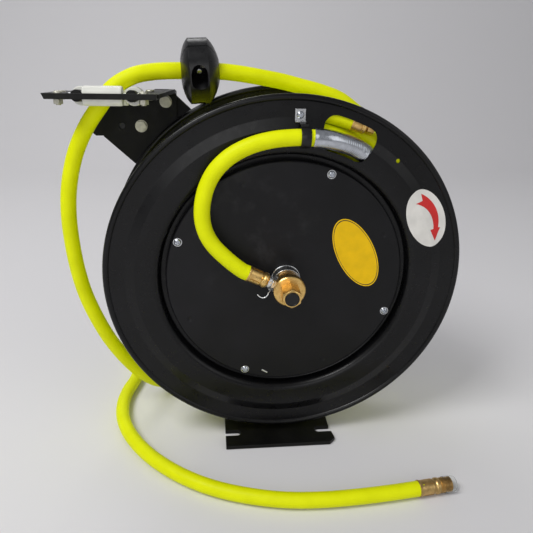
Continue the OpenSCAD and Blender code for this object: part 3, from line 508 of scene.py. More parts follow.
def curve_through(points, steps):
    """Finer path through points, each stretch a smooth cubic."""
    ends = [2 * points[0] - points[1], *points, 2 * points[-1] - points[-2]]
    path = []
    for a, b, c, d in zip(ends, ends[1:], ends[2:], ends[3:]):
        span = (c - b).length
        tangent_b = (c - a) / max((c - b).length + (b - a).length, 1e-9) * span
        tangent_c = (d - b) / max((d - c).length + (c - b).length, 1e-9) * span
        for k in range(steps):
            t = k / steps
            path.append(
                (2 * t**3 - 3 * t**2 + 1) * b
                + (t**3 - 2 * t**2 + t) * tangent_b
                + (3 * t**2 - 2 * t**3) * c
                + (t**3 - t**2) * tangent_c
            )
    return [*path, points[-1]]


def path_frames(path, seed):
    """Places along a path, carried without twist."""
    frames, side = [], seed
    for i, here in enumerate(path):
        ahead = path[min(i + 1, len(path) - 1)] - path[max(i - 1, 0)]
        z = ahead.normalized()
        side = (side - side.dot(z) * z).normalized()
        frames.append(
            Matrix.Translation(here)
            @ Matrix((side, z.cross(side), z)).transposed().to_4x4()
        )
    return frames


def swept(path, radius, sides=20, seed=Vector((0, 1, 0))):
    """Closed tube along a path in metres; its rings follow each other in the mesh."""
    bm = bmesh.new()
    frames = path_frames(path, seed)
    for v in bmesh.ops.create_circle(bm, segments=sides, radius=radius * MM)["verts"]:
        v.co = frames[0] @ v.co
    first = edges = bm.edges[:]
    for before, here in zip(frames, frames[1:]):
        made = bmesh.ops.extrude_edge_only(bm, edges=edges)["geom"]
        fresh = of_kind(made, bmesh.types.BMVert)
        step = here @ before.inverted()
        for v in fresh:
            v.co = step @ v.co
        ring = set(fresh)
        edges = [e for e in of_kind(made, bmesh.types.BMEdge) if ring.issuperset(e.verts)]
    for rim in (first, edges):
        bmesh.ops.holes_fill(bm, edges=rim, sides=0)
    bmesh.ops.recalc_face_normals(bm, faces=bm.faces)
    return bm


def copied(node):
    """bmesh of a CAD node, its triangles merged into flat faces."""
    bm = bmesh.new()
    bm.from_mesh(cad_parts[node].data)
    bmesh.ops.remove_doubles(bm, verts=bm.verts, dist=2e-6)
    flat = radians(0.5)
    bmesh.ops.dissolve_limit(bm, angle_limit=flat, verts=bm.verts, edges=bm.edges)
    return bm


def plate_from(node, material, bevel, bm=None):
    """A pressed plate of the frame with rounded edges."""
    bm = copied(node) if bm is None else bm
    plate = new_object(f"{node}_plate", bm, material)
    finished(plate, "frame", (node,), angle=30, bevel=bevel)


# ---------- cords ----------

# Free hose, from the drum over the guide and down to the floor
FREE_ROUTE = route(
    (96, 32, 382), (66, 29.5, 404), (42, 28.5, 413), (20, 27, 418.5), (-3, 24.5, 424),
    (-25, 21, 428), (-46, 17, 431.5), (-68, 13, 434), (-92, 8, 434.5), (-118, 3, 435),
    (-140, -2, 434), (-160, -6, 430), (-181, -9, 418), (-195, -10, 400.5), (-210, -10, 380),
    (-223, -8, 356), (-232, -6, 331), (-238, -4, 305), (-241, -2, 276), (-241, 0, 245),
    (-239, 2, 214), (-234, 4, 182), (-225, 6, 150), (-212, 10, 115), (-196, 17, 82),
    (-178, 27, 52), (-160, 41, 29), (-141, 58, 16), (-120, 80, 10), (-101, 104, 9),
    (-84, 131, 9), (-72, 161, 9), (-69, 191, 9), (-79, 220, 9), (-101, 242, 9),
    (-131, 251, 9), (-161, 245, 9), (-186, 226, 9), (-200, 198, 9), (-203, 166, 9),
    (-198, 134, 9), (-192, 104, 9), (-194, 74, 9), (-201, 48, 9), (-204, 20, 9),
    (-201, -9, 9), (-191, -38, 9), (-175, -66, 9), (-152, -94, 9), (-121, -121, 9),
    (-86, -142, 9), (-49, -156, 9), (-10, -165, 9), (30, -168, 9), (70, -167, 9),
    (110, -164, 9), (146, -160, 9),
)
HOSE_R = 8.5
WIND_R = 178.0
PITCH = 17.0


def polar(radius, angle, y):
    """Point round the drum's axis, by an angle in degrees from +X towards +Z."""
    turn = radians(angle)
    return mm(radius * math.cos(turn), y, AXIS_H + radius * math.sin(turn))


def last_turn_points():
    """The outermost turn: it comes out of the winding and lifts off towards the guide."""
    points = []
    cross_at, lift_at = -316, 14
    for angle in range(-324, 56, 4):
        across = PITCH * (1 + smooth((angle - cross_at) / 36))
        lift = max(0.0, (angle - lift_at) / 46)
        radius = WIND_R + 0.8 + 14 * lift**1.8
        points.append(polar(radius, angle, across - 2 * lift))
    return points


def add_hose(name, bm, body, node):
    """A stretch of hose, put on its body."""
    return add(name, bm, RUBBER, body, (node,), angle=60)


def lay_free_hose():
    """The last turn and the free hose, as one smooth path split where it leaves."""
    before = last_turn_points()
    whole = curve_through([*before, *FREE_ROUTE], 6)
    split = 6 * len(before)
    turn = swept(whole[: split + 1], HOSE_R - 0.2)
    add_hose("last_turn", turn, "frame", "hose_last_turn")
    path = whole[split:]
    hose = add_hose("free_hose_line", swept(path, HOSE_R, 28), "frame", "free_hose")
    return hose, path


free_hose, free_path = lay_free_hose()

# ---------- end fitting ----------

end_run = FREE_ROUTE[-1] - FREE_ROUTE[-2]
END = along(FREE_ROUTE[-1], Vector((end_run.x, end_run.y, 0)), Vector((0, 0, 1)))


def ferrule_profile(length, radius, bore):
    """Crimped ferrule: its skirt at z = 0 takes the hose, its neck ends at length."""
    r = radius
    return filleted(
        (bore, 0, 0), (r + 0.25, 0, 0.3), (r + 0.35, 1.6, 0.5), (r - 0.15, 2.6, 0.8),
        (r - 0.1, 0.62 * length, 2), (r - 0.9, 0.68 * length, 1),
        (r - 0.8, 0.74 * length, 1), (r + 0.15, 0.80 * length, 1),
        (r + 0.1, 0.90 * length, 0.9), (0.84 * r, length, 0.5), (bore, length, 0),
    )


def crimp_slots(piece, place, length, radius, start=0.4):
    """Presses the four long flats of a crimping tool into a ferrule."""
    for k in range(4):
        turn = Matrix.Rotation(start + math.tau * k / 4, 4, "Z")
        slot = place @ turn @ moved(radius, 0, 0.38 * length)
        carve(piece, block((1.8, 1.3, 0.46 * length), slot))


def thread_profile(low, high, radius, pitch, depth, bore):
    """Rings of a fine outside thread."""
    root, z = radius - depth, low
    out = [(bore, low), (root, low)]
    while z + pitch <= high:
        out += [(root, z), (radius, z + 0.4 * pitch), (radius, z + 0.6 * pitch)]
        z += pitch
    return [*out, (root, z), (root - 0.5, high), (bore, high)]


def make_hose_end():
    """Ferrule, threaded end and clear thread cap on the free hose."""
    skirt = END @ moved(0, 0, -5.5)
    length, radius = 26.5, 8.9
    shell = turned(ferrule_profile(length, radius, bore=4), skirt, closed=True)
    ferrule = new_object("hose_end_ferrule", shell, END_BRASS)
    crimp_slots(ferrule, skirt, length, radius)
    finished(ferrule, "frame", ("end_ferrule",), angle=30)
    place = END @ moved(0, 0, 21)
    lip = filleted((4.5, 12, 0), (7.3, 12, 0), (7.3, 13, 0.4), (5, 13.4, 0.3), (4.5, 13, 0))
    thread = thread_profile(low=-0.5, high=12.6, radius=8.3, pitch=1.3, depth=0.8, bore=4.5)
    whole = joined([turned(profile, place, closed=True) for profile in (thread, lip)])
    fitting = new_object("hose_end_thread", whole, END_BRASS)
    finished(fitting, "frame", ("end_fitting",), angle=25)
    wall = filleted(
        (8.45, 0, 0), (8.95, 0, 0.2), (8.9, 10, 2), (8.2, 14, 2), (0, 14.2, 0),
        (0, 13.7, 0), (7.8, 13.6, 1.6), (8.45, 10, 2), (8.45, 0, 0),
    )
    shell = turned(wall, END @ moved(0, 0, 25), 64)
    cap = new_object("clear_thread_cap", shell, CLEAR)
    finished(cap, "cap", ("thread_cap",), angle=40)
    return ferrule, fitting, cap


end_ferrule, end_fitting, end_cap = make_hose_end()

# ---------- drum ----------

# Turn of the long hole; the cover's screws stand in line with it
PORT_ANGLE = 69.3


def flange_profile():
    """Outer face of a flange, from under the cover out to the rolled bead."""
    middle, height, radius = 199.5, 42.5, 3.5
    bead = [
        (middle + radius * math.cos(radians(a)), height + radius * math.sin(radians(a)))
        for a in range(150, -131, -14)
    ]
    return [
        *filleted(
            (17, 32, 0), (142, 32, 3), (142, 47, 7.5), (168.5, 47.2, 3), (179.5, 43.8, 5),
            (196.2, 43.8, 0), steps=7,
        ),
        *bead,
    ]


def port_cutter():
    """Long hole with rounded corners, between two radii of the flange."""
    inner, outer, half, corner = 151.0, 188.0, radians(9.7), 12.0
    rim = []
    for radius, sign in ((outer, 1), (inner, 1), (inner, -1), (outer, -1)):
        r = radius - corner if radius == outer else radius + corner
        centre_angle = half - math.asin(corner / r)
        first = centre_angle if radius == outer else half + math.pi / 2
        last = half + math.pi / 2 if radius == outer else centre_angle + math.pi
        arc = [first + (last - first) * k / 8 for k in range(9)]
        corner_points = [
            Vector((r * math.cos(centre_angle), r * math.sin(centre_angle)))
            + corner * Vector((math.cos(a), math.sin(a)))
            for a in arc
        ]
        if sign < 0:
            corner_points = [Vector((p.x, -p.y)) for p in reversed(corner_points)]
        rim += corner_points
        if (radius, sign) == (inner, 1):
            near = half - math.asin(corner / (inner + corner))
            rim += [
                inner * Vector((math.cos(near * k / 6), math.sin(near * k / 6)))
                for k in range(5, -6, -1)
            ]
    far = half - math.asin(corner / (outer - corner))
    rim += [
        outer * Vector((math.cos(far * k / 6), math.sin(far * k / 6)))
        for k in range(-5, 6)
    ]
    bm = raised([(p.x, p.y) for p in rim], 36, 56)
    bmesh.ops.recalc_face_normals(bm, faces=bm.faces)
    bm.transform(on_axis() @ rotated("Z", PORT_ANGLE))
    return bm


def make_flange(name, node, place, cutters=()):
    """Flange spun from its outer face, given a wall, and pierced."""
    bm = turned(flange_profile(), Matrix.Identity(4), 240)
    bm.normal_update()
    if max(bm.faces, key=lambda face: face.calc_area()).normal.z < 0:
        bmesh.ops.reverse_faces(bm, faces=bm.faces)
    bm.transform(place)
    flange = new_object(name, bm, POWDER)
    wall = flange.modifiers.new("sheet", "SOLIDIFY")
    wall.thickness = 1.4 * MM
    wall.offset = -1
    baked(flange)
    for cutter in cutters:
        carve(flange, cutter)
    finished(flange, "drum", (node,), angle=38, bevel=0.25)


def round_cutter(x, z, radius, low, high):
    """Bar that cuts a round hole, between two distances in front of the axis."""
    outline = [(0, 0), (radius, 0), (radius, high - low), (0, high - low)]
    return turned(outline, moved(x, -low, z) @ rotated("X", 90), 40)


small_hole = round_cutter(x=115.4, z=AXIS_H + 135.1, radius=2.4, low=36, high=50)
make_flange(
    "front_flange_sheet", "front_flange", on_axis(), [port_cutter(), small_hole]
)
rear = moved(0, 0, AXIS_H) @ rotated("X", -90)
make_flange("rear_flange_sheet", "rear_flange", rear)


def crown(radius):
    """Height of the cover's slightly domed face."""
    rise, rim = 0.2, 131.8
    return COVER_FACE + rise * (1 - min(radius / rim, 1) ** 2)


def make_cover():
    """Pressed lid; its face is fine enough for four dimples to be pushed into it."""
    hole, back = 16.2, COVER_FACE - 1.6
    radii = [hole, 40, 70, 100, 112] + [115.5 + 0.8 * k for k in range(13)]
    edge = filleted(
        (126, COVER_FACE, 0), (135, COVER_FACE, 3.2), (135, 32.1, 0), (133.4, 32.1, 0),
        (133.4, back, 1.6), (hole, back, 0), steps=8,
    )
    outline = [(hole, back), *((r, crown(r)) for r in radii), *edge[1:-1]]
    bm = turned(outline, Matrix.Identity(4), 720, closed=True)
    dimple, circle = 4, 120.3
    for k in range(4):
        turn = radians(24.5 + 90 * k)
        centre = Vector((math.cos(turn), math.sin(turn), 0)) * circle
        for v in bm.verts:
            away = (v.co / MM - centre).xy.length
            if away < dimple and v.co.z > (COVER_FACE - 0.5) * MM:
                v.co.z -= 0.6 * (1 + math.cos(math.pi * away / dimple)) * MM
    bm.transform(on_axis())
    add("spring_cover_lid", bm, COVER, "drum", ("spring_cover",), angle=50)


make_cover()


def make_slot_tongue():
    """Bare end of the sheet tongue that stands in the cover's slot."""
    place = on_axis(41.3) @ rotated("Z", -99.8) @ moved(125.7, 0, 0) @ rotated("Z", 68)
    tongue = block((8, 1.7, 1.2), place)
    add("slot_tongue", tongue, WHITE_ZINC, "drum", bevel=0.3)


make_slot_tongue()


def cross_recess(piece, place, size, depth):
    """Cuts a cross recess into a screw head."""
    bars = [
        block((size, size * 0.27, 2 * depth), place @ rotated("Z", turn))
        for turn in (0, 90)
    ]
    return carve(piece, joined(bars))


def pan_screw(name, place, radius, height, turn):
    """Pan-head screw with a cross recess, seated at z = 0."""
    profile = filleted(
        (0, -1, 0), (radius, -1, 0), (radius, height * 0.35, height * 0.5),
        (radius * 0.62, height, height * 0.6), (0, height, 0), steps=6,
    )
    screw = new_object(name, turned(profile, place, 40), GUARD_STEEL)
    top = place @ moved(0, 0, height) @ Matrix.Rotation(turn, 4, "Z")
    return cross_recess(screw, top, radius * 1.25, height * 0.7)


def make_cover_screws():
    """Four screws with washers, round the cover."""
    screws, circle = [], 128.3
    for k in range(4):
        turn = rotated("Z", PORT_ANGLE + 90 * k)
        place = on_axis(COVER_FACE) @ turn @ moved(circle, 0, 0)
        washer = turned([(2, 0), (4.9, 0), (4.9, 0.5), (2, 0.5)], place, 40, closed=True)
        name = f"cover_screw_{k + 1}"
        screws.append(pan_screw(name, place, radius=4.2, height=2.2, turn=0.4 + k))
        screws.append(new_object(f"cover_washer_{k + 1}", washer, ZINC))
    for piece in screws:
        finished(piece, "drum", ("cover_screws",))


make_cover_screws()

# ---------- wound hose ----------

# Where the outer turns begin, beside the long hole of the front flange
START_A, START_Y = 74, -34
UNION_R = 185.0
TANGENT = Vector((math.sin(radians(START_A)), 0, -math.cos(radians(START_A))))


def winding_points():
    """Outer layer: turns side by side from the coupling; its end dives under."""
    step, turns, dive_at, dive = 3.75, 3.9, 3.79, 14
    points = [polar(UNION_R, START_A, START_Y) + TANGENT * 16 * MM]
    for i in range(int(turns * 360 / step) + 1):
        t = i * step / 360
        k = min(int(t + 1e-6), 3)
        # Each turn moves over to the next column near its end
        late, length = (0.935, 0.045) if k == 0 else (0.83, 0.08)
        shift = smooth((t - k - late) / length) if k < 3 else 0
        radius = WIND_R - dive * smooth((t - dive_at) / 0.11)
        radius += (UNION_R - WIND_R) * smooth(1 - t / 0.09)
        y = START_Y + PITCH * (k + shift)
        points.append(polar(radius, START_A + 360 * t, y))
    return points


def make_winding():
    """Outer turns, the layers under them, and the strand under the outgoing hose."""
    outer = swept(winding_points(), HOSE_R - 0.15, 16)
    add_hose("outer_turns", outer, "drum", "hose_winding")
    rings = []
    layers = (
        (165.3, 8.2, (-25.5, -8.5, 8.5, 25.5)),
        (153.5, 7.6, (-30, -15, 0, 15, 30)),
    )
    for radius, thickness, columns in layers:
        for y in columns:
            low, high = (83, 403) if y < -20 else (0, 360)
            arc = [polar(radius, low + (high - low) * k / 96, y) for k in range(97)]
            rings.append(swept(arc, thickness, 12))
    passing = []
    for angle in range(88, 38, -4):
        down = min(max((80 - angle) / 30, 0), 1)
        passing.append(polar(168 - 2 * down, angle, -33 + 15 * smooth(down)))
    rings.append(swept(curve_through(passing, 4), 8.2, 16))
    add_hose("under_turns", joined(rings), "drum", "winding_core")


make_winding()

# ---------- inner hose ----------

NIPPLE_A, NIPPLE_OFF = radians(155), 4.7


def nipple_at(s):
    """Point on the nipple's line, s millimetres out from the axis."""
    cos, sin = math.cos(NIPPLE_A), math.sin(NIPPLE_A)
    return mm(s * cos - NIPPLE_OFF * sin, -60, AXIS_H + s * sin + NIPPLE_OFF * cos)


NIPPLE = along(nipple_at(0), Vector((math.cos(NIPPLE_A), 0, math.sin(NIPPLE_A))))
INNER_ROUTE = [nipple_at(47), nipple_at(53)] + route(
    (-61, -60, 243), (-72, -60, 253.5), (-82, -60, 265), (-89, -60, 278), (-92.5, -60, 293),
    (-92, -60, 310), (-87.5, -60, 328), (-79, -60, 344), (-67, -60, 356.5), (-54, -60, 365),
    (-38, -60, 371.8), (-20, -59.5, 376), (-2, -59, 377.8), (10, -58.6, 378),
    (20, -58.4, 377.5), (36, -57.6, 375.9), (50, -52.8, 372), (62, -46.8, 367.4),
    (73, -40.5, 362), (82.5, -34.5, 355.5), (96, -25.5, 338),
)
# Points of the route where the clip and the wire guard sit
CLIP_AT, GUARD_FROM, GUARD_TO = 15, 16, 21
INNER_STEPS = 6
inner_path = curve_through(INNER_ROUTE, INNER_STEPS)
add_hose("inner_hose_run", swept(inner_path, HOSE_R, 28), "drum", "inner_hose")


def make_guard():
    """Close-wound flat wire guard; its turns open in the bend."""
    stretch = inner_path[INNER_STEPS * GUARD_FROM : INNER_STEPS * GUARD_TO + 2]
    dust_and_light_marks = [0.0]
    for a, b in zip(stretch, stretch[1:]):
        dust_and_light_marks.append(dust_and_light_marks[-1] + (b - a).length)
    length = dust_and_light_marks[-1]
    count = int(length / (0.3 * MM))
    path = []
    for i in range(count + 1):
        at = length * i / count
        k = min(max(j for j, m in enumerate(dust_and_light_marks) if m <= at), len(dust_and_light_marks) - 2)
        share = (at - dust_and_light_marks[k]) / (dust_and_light_marks[k + 1] - dust_and_light_marks[k])
        path.append(stretch[k].lerp(stretch[k + 1], share))
    sides, wire, front = 48, 2.8 * MM, Vector((0, -1, 0))
    bm = swept(path, 10, sides, seed=front)
    frames = path_frames(path, front)
    bm.verts.index_update()
    for v in bm.verts:
        ring = v.index // sides
        station = length * ring / count
        here = frames[ring].inverted() @ v.co
        opened = min(max(station / length * 2 - 0.7, 0), 1)
        phase = station / wire - math.atan2(here.y, here.x) / math.tau
        groove = abs(2 * (phase - math.floor(phase)) - 1) ** 3
        lip = max(0.0, 1 - station / (4 * MM))
        out = (0.03 + 0.9 * opened) * -groove + 0.7 * lip
        v.co += (v.co - path[ring]).normalized() * out * MM
    add("guard_spring", bm, GUARD_STEEL, "drum", ("bend_guard",), angle=70)


make_guard()

# ---------- swivel ----------


def make_swivel():
    """Plated ring and brass collar, with the boss for the nipple."""
    ring = filleted(
        (7.1, 0, 0), (16.5, 0, 0.3), (16.5, 2, 0.3), (15.9, 2.4, 0.2), (15.9, 12.8, 0.5),
        (15.1, 12.8, 0.3), (14.9, 8, 0), (7.1, 8, 0), (7.1, 0, 0),
    )
    ring = turned(ring, on_axis(COVER_FACE))
    add("swivel_plated_ring", ring, ZINC, "drum", ("swivel_ring",), angle=30)
    collar = filleted(
        (7.1, 0, 0), (12, 0, 0.3), (12, 9.5, 0.2), (11.5, 9.9, 0), (11.5, 10.9, 0),
        (12, 11.3, 0.2), (12, 19, 0.4), (7.1, 19, 0), (7.1, 0, 0),
    )
    boss = filleted((0, 7.5, 0), (5.8, 7.5, 0), (5.8, 13, 0.4), (0, 13, 0))
    body = joined([turned(collar, on_axis(49)), turned(boss, NIPPLE, 64)])
    add("swivel_collar", body, BRASS, "drum", ("swivel_body",), angle=30)


def make_inlet():
    """Disc with its hexagon, and the plug that closes it."""
    disc = filleted(
        (6.6, 0, 0), (16.6, 0, 0), (17.5, 0.9, 0.2), (17.5, 8.4, 0.2), (16.4, 9.6, 0.3),
        (6.6, 9.6, 0), (6.6, 0, 0),
    )
    nose = hexagon_solid(19, 18.6, on_axis(77.4), bore=6.6, chamfer=0.5)
    inlet = joined([turned(disc, on_axis(68.4)), nose])
    add("inlet_disc", inlet, PALE_BRASS, "frame", ("swivel_inlet",), angle=28)
    plug = filleted(
        (0, -6, 0), (6.55, -6, 0), (6.55, 0.1, 0), (7.8, 0.1, 0.2), (7.8, 1.5, 0.5),
        (6.6, 1.7, 0.3), (6.2, 1.2, 0.3), (0, 1.1, 0),
    )
    plug = turned(plug, on_axis(96), 64)
    add("inlet_plug_cap", plug, SOFT_BLACK, "plug", ("inlet_plug",))


def make_nipple():
    """Zinc nut of the nipple, and the crimped ferrule of the inner hose."""
    neck = filleted(
        (0, 18, 0), (5.2, 18, 0), (5.2, 19.4, 0.4), (6.6, 19.4, 0.4), (6.6, 22.8, 0.5),
        (0, 22.8, 0),
    )
    nut = hexagon_solid(15, 6.4, NIPPLE @ moved(0, 0, 12.4), start=radians(15))
    nut = joined([nut, turned(neck, NIPPLE, 64)])
    add("nipple_nut", nut, WHITE_ZINC, "drum", ("hose_nipple",), angle=28)
    place = NIPPLE @ moved(0, 0, 47) @ rotated("X", 180)
    length, radius = 24, 8.6
    shell = turned(ferrule_profile(length, radius, bore=4.4), place, closed=True)
    ferrule = new_object("inner_hose_ferrule", shell, PALE_BRASS)
    crimp_slots(ferrule, place, length, radius, start=math.pi / 2 + 0.25)
    finished(ferrule, "drum", ("inner_ferrule",), angle=30)


make_swivel()
make_inlet()
make_nipple()


def make_hairpin():
    """Bent end of the wire clip that keeps the nipple in the swivel."""
    bend = route(
        (-12, -55, 212), (-17, -57, 210.5), (-20.5, -59.5, 207.5), (-22.5, -61, 204.5),
        (-25, -61.5, 202.2), (-28.5, -61, 201.6), (-31.5, -60, 202.8), (-33.5, -59, 204.6),
    )
    wire = swept(curve_through(bend, 5), 0.65, 12)
    add("clip_wire", wire, WHITE_ZINC, "drum", angle=60)


make_hairpin()

# ---------- clip ----------


def make_clip():
    """Black strap round the inner hose, its zinc tab and the tab's screw."""
    centre = INNER_ROUTE[CLIP_AT] / MM
    strap_x, tab_x, tab_z, tab_back = 12.0, 8.0, AXIS_H + 182.4, 45.0
    band = filleted(
        (8.6, 0, 0.3), (10.6, 0, 0.6), (10.9, 5, 3), (10.6, 10, 0.6), (8.6, 10, 0.3),
        (8.6, 0, 0),
    )
    place = moved(strap_x - 5, centre.y, centre.z) @ rotated("Y", 90)
    low, high = centre.z + 9.4, tab_z - 7
    front, back = -centre.y, tab_back + 2.4
    middle = moved(strap_x - 1, centre.y, (low + high) / 2)
    neck = block((8, 2.4, high - low), middle)
    middle = moved(strap_x - 1, -(front + back) / 2, tab_z - 8)
    foot = block((8, front - back + 1, 2), middle)
    strap = joined([turned(band, place, 72), neck, foot])
    strap = new_object("clip_band", strap, SOFT_BLACK)
    finished(strap, "drum", ("clip_strap",), bevel=0.4)
    plate = block((10.8, 1.5, 12.5), moved(tab_x, -tab_back - 0.75, tab_z - 0.25))
    lip = block((10.8, 5, 1.5), moved(tab_x, -tab_back - 2.5, tab_z - 6.25))
    tab = joined([plate, lip])
    add("clip_plate", tab, ZINC, "drum", ("clip_tab",), bevel=0.35)
    head = moved(tab_x, -tab_back - 1.5, tab_z) @ rotated("X", 90)
    screw = pan_screw("clip_pan_screw", head, radius=3.8, height=2.2, turn=0.3)
    finished(screw, "drum", ("clip_screw",))


make_clip()


def make_union():
    """Brass coupling between the incoming hose and the winding."""
    turn = along(winding_points()[0] - TANGENT * 3 * MM, TANGENT)
    ferrule = turned(ferrule_profile(length=17, radius=8.5, bore=3), turn, 72, closed=True)
    nut = hexagon_solid(13, 8, turn @ moved(0, 0, 18))
    neck = turned([(0, 16.5), (4.6, 16.5), (4.6, 20), (0, 20)], turn, 48)
    whole = joined([ferrule, neck, nut])
    add("winding_union", whole, PALE_BRASS, "drum", ("hose_union",), angle=30)


make_union()

# ---------- stickers ----------


def flange_height(radius):
    """Height of the front flange's face at a distance from the axis."""
    outline = [p for p in flange_profile() if p[0] <= 196.3 and p[1] > 40]
    for (r0, h0), (r1, h1) in zip(outline, outline[1:]):
        if r0 <= radius <= r1 and r1 > r0:
            return h0 + (h1 - h0) * (radius - r0) / (r1 - r0)
    return outline[-1][1]


def laid(bm, height, lift):
    """Bends a flat shape, drawn round the drum's axis, over a surface of revolution."""
    for v in bm.verts:
        v.co.z += (height(math.hypot(v.co.x, v.co.y) / MM) + lift) * MM
    bmesh.ops.recalc_face_normals(bm, faces=bm.faces)
    bm.transform(on_axis())
    return bm


def oval(a, b, place, inner=0.0, thickness=0.18):
    """Thin oval with many rings, so that it can bend, or only its rim."""
    shares = [inner, 1] if inner else [k / 10 for k in range(11)]
    # A circle of one metre, which the last line scales to the oval
    top = [(s / MM, thickness) for s in shares]
    base = [(s / MM, 0) for s in reversed(shares)]
    bm = turned([*top, *base], Matrix.Identity(4), closed=True)
    bm.transform(place @ Matrix.Diagonal((a * MM, b * MM, 1, 1)))
    return bm


def arrow_outline():
    """Curved arrow with a swallow tail, as points round its own centre."""

    def at(radius, angle):
        turn = radians(angle)
        return (130 + radius * math.cos(turn), 62 + radius * math.sin(turn))

    shares = [k / 16 for k in range(17)]
    outer = [at(40.3, 68 - 70.5 * k) for k in shares]
    inner = [at(34.8 - 6.6 * k, -5.6 + 75.4 * k) for k in shares]
    head = [at(42.8, -2.5), at(41.8, -24.3), at(31, -7.8)]
    return [*outer, *head, *inner, at(34.4, 59.4)]


def make_arrow():
    """The arrow, cut into a grid so that it can bend with the flange."""
    bm = raised(arrow_outline(), 0, 0.08)
    bmesh.ops.triangulate(bm, faces=[f for f in bm.faces if len(f.verts) > 4])
    across, upward = Vector((1, 0, 0)), Vector((0, 1, 0))
    for normal, low, high in ((across, 138, 174), (upward, 44, 102)):
        for k in range(low, high, 3):
            bmesh.ops.bisect_plane(
                bm,
                geom=bm.verts[:] + bm.edges[:] + bm.faces[:],
                plane_co=normal * k * MM,
                plane_no=normal,
            )
    return laid(bm, flange_height, 0.42)


def make_stickers():
    """Yellow oval with a dark line on the cover; white one with an arrow on the flange."""
    place = moved(79.4, 28.8, 0) @ rotated("Z", 118)
    label = laid(oval(45.3, 21.5, place), crown, 0.02)
    add("yellow_oval", label, YELLOW, "drum", ("oval_sticker",))
    line = laid(oval(43.9, 20.2, place, inner=0.975, thickness=0.24), crown, 0.02)
    add("yellow_oval_line", line, INK, "drum")

    place = rotated("Z", 24.75) @ moved(170, 0, 0) @ rotated("Z", 90.25)
    label = laid(oval(35, 21.5, place), flange_height, 0.14)
    add("white_oval", label, WHITE, "drum", ("arrow_sticker",))
    add("red_arrow", make_arrow(), RED, "drum")


make_stickers()

# ---------- roller guide ----------

GUIDE = moved(-184.5, -10, 410.3) @ rotated("X", -6.7)
GUIDE_TILT = GUIDE.to_3x3()


def roller(side, x, y, turn, radius, length):
    """Moulded sleeve with rounded ends, on its own body."""
    r, end = radius, length / 2
    profile = filleted(
        (3.1, -end, 0), (r - 0.4, -end, 0.9), (r, 1.6 - end, 1.2), (r, end - 1.6, 1.2),
        (r - 0.4, end, 0.9), (3.1, end, 0), (3.1, -end, 0),
    )
    bm = turned(profile, GUIDE @ moved(x, y, 0) @ turn, 72)
    name, body, node = f"{side}_roller_sleeve", f"{side}_roller", f"roller_{side}"
    add(name, bm, NYLON, body, (node,))


def make_roller_frame():
    """Plate with a square window and four round knuckles; it rises to the back."""
    outline = [
        (-57.5, -40), (50.5, -40), (50.5, 46), (41.5, 54), (41.5, 61.6), (-60.5, 61.6),
    ]
    bm = raised(outline, -3.3, 2.2)
    bmesh.ops.recalc_face_normals(bm, faces=bm.faces)
    for v in bm.verts:
        if v.co.x < -56 * MM and v.co.z < 0:
            v.co.x += 2.6 * MM
    bm.transform(GUIDE)
    blank = new_object("roller_frame_blank", bm, DUSTY)
    window = block((72.4, 68.2, 40), GUIDE)
    carve(blank, window)
    parts = [bmesh.new()]
    parts[0].from_mesh(blank.data)
    bpy.data.objects.remove(blank)
    knuckle = filleted((0, 13.4, 0), (5.8, 13.4, 0.8), (5.8, 34.5, 0.8), (0, 34.5, 0))
    for x in (-26, 26):
        for side in (-1, 1):
            place = GUIDE @ moved(x, 0, 0) @ rotated("X", -90 * side)
            parts.append(turned(knuckle, place, 48))
            ear = GUIDE @ moved(math.copysign(34, x), side * 23, 0)
            parts.append(block((10, 11, 4.4), ear))
    whole = joined(parts)
    back = GUIDE.inverted()
    for v in whole.verts:
        x, y, z = back @ v.co / MM
        if abs(z) < 3.6 and (abs(x) > 37 or abs(y) > 33):
            v.co += GUIDE_TILT @ mm(0, 0, 0.035 * (y + 34))
    piece = new_object("roller_frame", whole, DUSTY)
    finished(piece, "frame", ("roller_plate",), bevel=0.7)


def make_bracket():
    """The bracket, its upper flange level on the roller frame; a plug in its hole."""
    bm = copied("guide_bracket")
    back = GUIDE.inverted()
    for v in bm.verts:
        _, y, z = back @ v.co / MM
        if y < 61.5 and z > 2:
            v.co += GUIDE_TILT @ mm(0, 0, 0.1 * (y + 30) - 4.4)
    plate_from("guide_bracket", DUSTY, 0.5, bm)
    plug = filleted((0, 0, 0), (3.9, 0, 0), (3.9, 3, 0.6), (0, 2.6, 0))
    plug = turned(plug, moved(-182.6, 55.6, 370.3) @ rotated("X", 90), 32)
    add("spare_hole_plug", plug, SOFT_BLACK, "frame", angle=40)


def make_frame_bolts():
    """Low rivets in the middle and small bolts with nuts at the two front corners."""
    rivets = []
    for x, top in ((-47, 3.2), (41, 4.9)):
        head = filleted(
            (0, -3.8, 0), (3, -3.8, 0), (3, top, 0), (4.6, top, 0.3), (3.8, top + 1.7, 1),
            (0, top + 2, 0),
        )
        rivets.append(turned(head, GUIDE @ moved(x, 0, 0), 40))
    rivets = joined(rivets)
    add("frame_rivets", rivets, DULL_ZINC, "frame", ("plate_bolts",))
    tip = [(0, -9), (2.2, -9), (2.5, -8.6), (2.5, -7), (0, -7)]
    washer = [(0, -3.5), (4.8, -3.5), (4.8, -2.9), (0, -2.9)]
    head = filleted(
        (0, 2.1, 0), (4.4, 2.1, 0), (4.2, 3.3, 0.5), (2.6, 4.4, 1), (0, 4.5, 0)
    )
    bolts = []
    for x in (-43.5, 37.7):
        place = GUIDE @ moved(x, -32.5, 0)
        nut = place @ moved(0, 0, -8) @ Matrix.Rotation(0.35, 4, "Z")
        bolts.append(hexagon_solid(across_flats=8.4, height=4.6, place=nut))
        bolts += [turned(tip, place, 32), turned(washer, place, 32)]
        bolts.append(turned(head, place, 40))
    add("frame_corner_bolts", joined(bolts), DULL_ZINC, "frame", angle=30)


